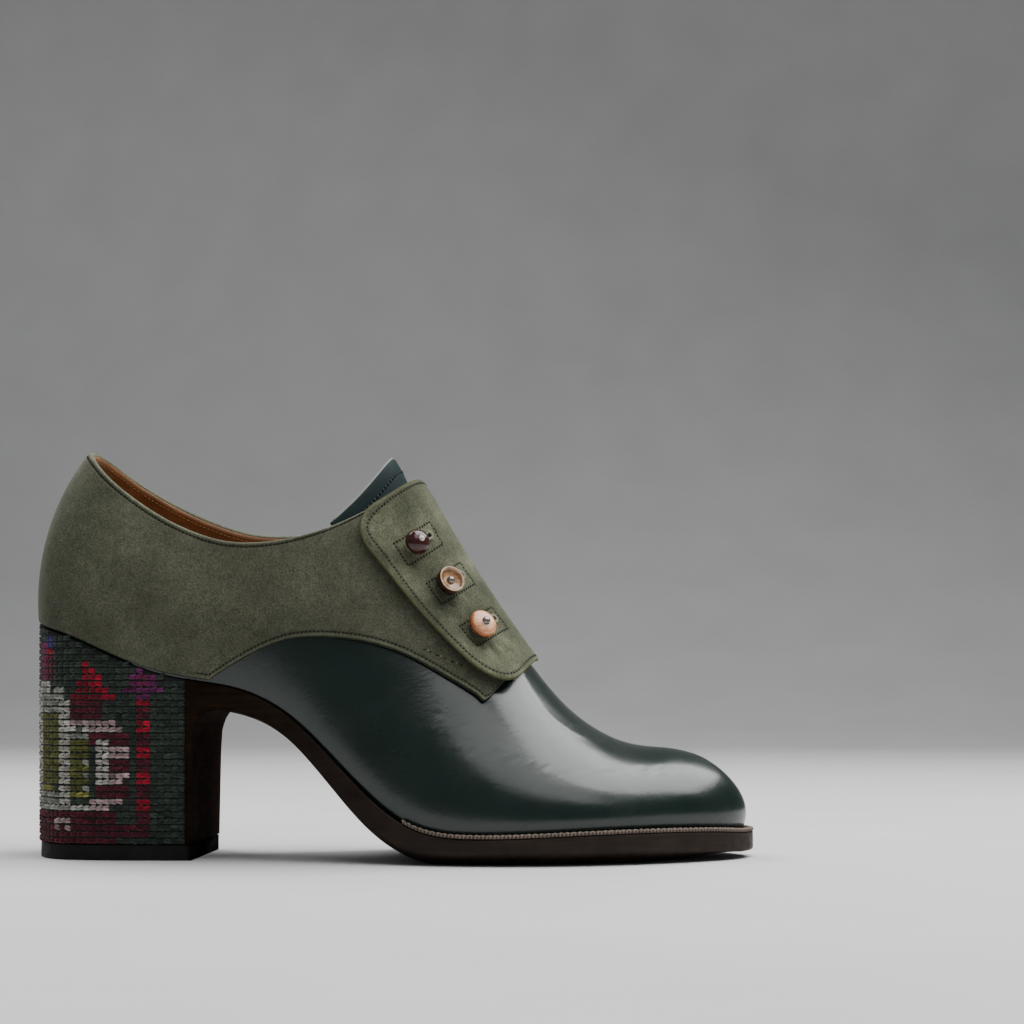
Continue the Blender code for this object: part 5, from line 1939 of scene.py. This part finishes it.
# Pale pin head at the ball's crown, its paleness partly a painted glint
BOSS_AND_GLINT = (0.62, 0.52, 0.47)
OXBLOOD = (0.040, 0.010, 0.009)
# Painted shade for the ball's underside
OXBLOOD_PAINTED_SHADE = (0.020, 0.006, 0.005)
HORN_PALE = (0.34, 0.190, 0.092)
HORN = (0.20, 0.098, 0.042)
# Painted highlight on the top of the dished button's rim
HORN_RIM_HIGHLIGHT = (0.46, 0.30, 0.17)
HORN_DARK = (0.030, 0.011, 0.006)
# The shell's pale face is partly its own tone and partly painted highlight
SHELL_PALE_AND_HIGHLIGHT = (0.74, 0.42, 0.26)
SHELL = (0.62, 0.29, 0.14)
SHELL_EDGE = (0.42, 0.14, 0.050)
# Painted shade for the shell button's underside
SHELL_PAINTED_SHADE = (0.20, 0.060, 0.022)
THREAD_DARK = (0.015, 0.011, 0.008)
BUTTON_STEPS = 48
BALL_MIDDLE = 0.42
BALL_ARC = (76, -68)
BALL_PAINTED_SHADE_BELOW = -0.35
BOSS_SIZE = (0.00092, 0.0005)
CUP_RIM = 0.00042
CUP_DEPTH = 0.0013
CUP_WALL_TOP = 0.0012
CUP_FOOT = (0.7, 0.0001)
PIN_SIZE = (0.00148, 0.0013)
PIN_STEPS = 28
PIN_SINK = {"button_middle": 0.0013, "button_bottom": 0.0}
BUTTON_LAP = 0.0001
RIDGEWARD = 0.002

# Share of the dish's radius, rise above its middle and colour
CUP_FACE = (
    (0.0, 0.0, HORN_PALE), (0.3, 0.00003, HORN_PALE), (0.6, 0.00012, HORN_PALE),
    (0.82, 0.00034, HORN), (0.95, 0.00075, HORN),
)

# Distance in from the dished button's rim and rise above its base
CUP_SIDE = ((0.0001, 0.0011), (0.0006, 0.0005))

# Share of the button's radius, fall below its crown and colour
DOME = (
    (0.0, 0.0, SHELL_PALE_AND_HIGHLIGHT), (0.30, 0.00010, SHELL_PALE_AND_HIGHLIGHT), (0.55, 0.00026, SHELL_PALE_AND_HIGHLIGHT),
    (0.75, 0.00050, SHELL), (0.87, 0.00080, SHELL), (0.95, 0.00125, SHELL_EDGE),
    (0.99, 0.0018, SHELL_EDGE), (1.0, 0.0023, SHELL_PAINTED_SHADE), (0.98, 0.0028, SHELL_PAINTED_SHADE),
    (0.86, 0.0033, SHELL_PAINTED_SHADE),
)


def button_matrix(row):
    """Matrix with z out of the flap at the button and x towards the ridge."""
    along = leaned(row.along, row.across)
    out = Vector(pattern_normal(along, row.across))
    seat = Vector(pattern_point(along, row.across, 0.0))
    higher = Vector(pattern_point(along, row.across - RIDGEWARD, 0.0))
    across = (higher - seat).normalized()
    across = (across - out * across.dot(out)).normalized()
    turn = Matrix((across, out.cross(across), out)).transposed().to_4x4()
    return Matrix.Translation(seat) @ turn


def placed(mesh, matrix):
    """Points and faces of a mesh moved by a matrix."""
    points, faces = mesh
    turn = np.array(matrix)
    return points @ turn[:3, :3].T + turn[:3, 3], faces


def arc(middle, size, angles, count):
    """Profile points of an elliptic arc, its angles in degrees from the outward direction."""
    return [(middle[0] + size[0] * math.cos(a), middle[1] + size[1] * math.sin(a))
            for a in np.radians(np.linspace(*angles, count))]


def ball_profile(row, base):
    """Mushroom button, with its crown first; each point has a radius, a height and a colour."""
    middle = base + BALL_MIDDLE * row.height
    over = base + row.height - middle
    boss = arc((0.0, base + row.height - BUTTON_LAP), BOSS_SIZE, (90, 0), 7)
    # The ball's underside takes painted shade
    ball = [(row.radius * math.cos(a), middle + (over if a > 0 else middle - base) * math.sin(a),
             OXBLOOD if a > BALL_PAINTED_SHADE_BELOW else OXBLOOD_PAINTED_SHADE)
            for a in np.radians(np.linspace(*BALL_ARC, 24))]
    return [(r, z, BOSS_AND_GLINT) for r, z in boss] + ball


def cup_profile(row, base):
    """Dished button with a raised rim."""
    crown = base + row.height
    lip = row.radius - 2 * CUP_RIM
    face = [(share * lip, crown - CUP_DEPTH + rise, colour) for share, rise, colour in CUP_FACE]
    edge = arc((row.radius - CUP_RIM, crown - CUP_RIM), (CUP_RIM, CUP_RIM), (175, 0), 9)
    side = [(row.radius, crown - CUP_WALL_TOP)]
    side += [(row.radius - inset, base + rise) for inset, rise in CUP_SIDE]
    side += [(CUP_FOOT[0] * row.radius, base + CUP_FOOT[1])]
    return (face + [(r, z, HORN_RIM_HIGHLIGHT) for r, z in edge[:6]]
            + [(r, z, HORN_DARK) for r, z in edge[6:] + side])


def dome_profile(row, base):
    """Domed shell button, paler on its face than at its edge, partly as painted highlight, with painted
    shade beneath.
    """
    crown = base + row.height
    return [(row.radius * share, max(base, crown - fall), colour) for share, fall, colour in DOME]


PROFILES = {"button_top": ball_profile, "button_middle": cup_profile, "button_bottom": dome_profile}


def build_buttons():
    base = FLAP_OUTSIDE + BUTTON_STAND
    for row in BUTTONS:
        matrix = button_matrix(row)
        profile = PROFILES[row.name](row, base)
        profile += [(BUTTON_SHANK_RADIUS, base - BUTTON_LAP, THREAD_DARK),
                    (BUTTON_SHANK_RADIUS, FLAP_INSIDE, THREAD_DARK), (0.0, FLAP_INSIDE, THREAD_DARK)]
        head = placed(lathe([point[:2] for point in profile], BUTTON_STEPS), matrix)
        tint = np.repeat([(*point[2], 1.0) for point in profile], BUTTON_STEPS, axis=0)
        add_piece(row.name + "_head", head, BUTTON_POLISH, row.name, tint)
        if row.name in PIN_SINK:
            foot = base + row.height - PIN_SINK[row.name]
            dome = arc((0.0, foot), PIN_SIZE, (90, 0), 9)
            dome += [(PIN_SIZE[0], foot - BUTTON_LAP), (0.0, foot - BUTTON_LAP)]
            pin = row.name + "_pin"
            add_piece(row.name + "_rivet", placed(lathe(dome, PIN_STEPS), matrix), PIN_METAL, pin)


# Stage, light and camera

CAMERA_PLACE = Vector((0.2029, -0.7248, 0.0600)) - Vector(SHIFT)
CAMERA_YAW = math.radians(3.0)
FOCAL_PIXELS = 2100.0
IMAGE_PIXELS = 1024.0
PITCH_PIXELS = 168.0
SENSOR = 36.0
CLIP_START = 0.01
FLOOR_HALF = 8.0
WALL_FROM = 1.2
WALL_ROUND = 0.8
WALL_TOP = 3.0
FLOOR_DARK = (0.60, 0.60, 0.595)
FLOOR_LIGHT = (0.64, 0.64, 0.635)
AIR = (0.86, 0.88, 0.90, 1.0)
AIR_STRENGTH = 0.20


class Lamp(NamedTuple):
    """Rectangular studio light."""
    name: str
    place: tuple
    target: tuple
    size: tuple
    power: float


LAMPS = (
    Lamp("key", (0.43, 0.12, 0.92), (0.03, 0.0, 0.05), (0.85, 1.05), 20.0),
    Lamp("overhead", (-0.50, 0.35, 0.85), (-0.06, 0.0, 0.08), (0.6, 0.5), 7.0),
    Lamp("front", (0.31, -0.67, 1.07), (0.03, 0.0, 0.06), (0.72, 0.70), 4.0),
)


def build_camera():
    data = bpy.data.cameras.new("photo_view")
    data.sensor_width = SENSOR
    data.lens = SENSOR * FOCAL_PIXELS / IMAGE_PIXELS
    data.clip_start = CLIP_START
    pitch = math.atan(PITCH_PIXELS / FOCAL_PIXELS)
    right = Vector((math.cos(CAMERA_YAW), math.sin(CAMERA_YAW), 0.0))
    level = Vector((-math.sin(CAMERA_YAW), math.cos(CAMERA_YAW), 0.0))
    up = Vector(UP)
    ahead = level * math.cos(pitch) + up * math.sin(pitch)
    over = up * math.cos(pitch) - level * math.sin(pitch)
    turn = Matrix((right, over, -ahead)).transposed().to_4x4()
    camera = add_object("photo_view", data)
    camera.matrix_world = Matrix.Translation(CAMERA_PLACE) @ turn
    bpy.context.scene.camera = camera


def add_light(lamp):
    data = bpy.data.lights.new(lamp.name, "AREA")
    data.shape = "RECTANGLE"
    data.size, data.size_y = lamp.size
    data.energy = lamp.power
    light = add_object(lamp.name, data)
    light.location = lamp.place
    way = Vector(lamp.target) - Vector(lamp.place)
    light.rotation_euler = way.to_track_quat("-Z", "Y").to_euler()


def build_stage():
    profile = [(-FLOOR_HALF, 0.0), (0.0, 0.0), (WALL_FROM, 0.0)]
    profile += [(WALL_FROM + WALL_ROUND * math.sin(a), WALL_ROUND - WALL_ROUND * math.cos(a))
                for a in np.radians(np.linspace(10, 90, 9))]
    profile += [(WALL_FROM + WALL_ROUND, WALL_TOP)]
    points = [(x, y, z) for y, z in profile for x in (-FLOOR_HALF, FLOOR_HALF)]
    faces = [(2 * k, 2 * k + 1, 2 * k + 3, 2 * k + 2) for k in range(len(profile) - 1)]
    data = bpy.data.meshes.new("floor")
    data.from_pydata(points, [], faces)
    data.shade_smooth()
    look = Look("pale_floor", 0.65)
    look.colour(look.ramp(look.noise(0.08, 3.0), (0.3, FLOOR_DARK), (0.7, FLOOR_LIGHT)))
    data.materials.append(look.material)
    floor = add_object("floor", data)
    world = bpy.data.worlds.new("studio")
    world.use_nodes = True
    air = world.node_tree.nodes["Background"].inputs
    air["Color"].default_value = AIR
    air["Strength"].default_value = AIR_STRENGTH
    bpy.context.scene.world = world
    for lamp in LAMPS:
        add_light(lamp)


for build in (build_camera, build_stage, build_vamp, build_seat_band, build_lining, build_quarters,
              build_quarter_seams, build_flap, build_flap_seams, build_tongue, build_outsole,
              build_welt, build_insole, build_lift, build_heel_cloth, build_heel_stitches,
              build_buttons):
    build()
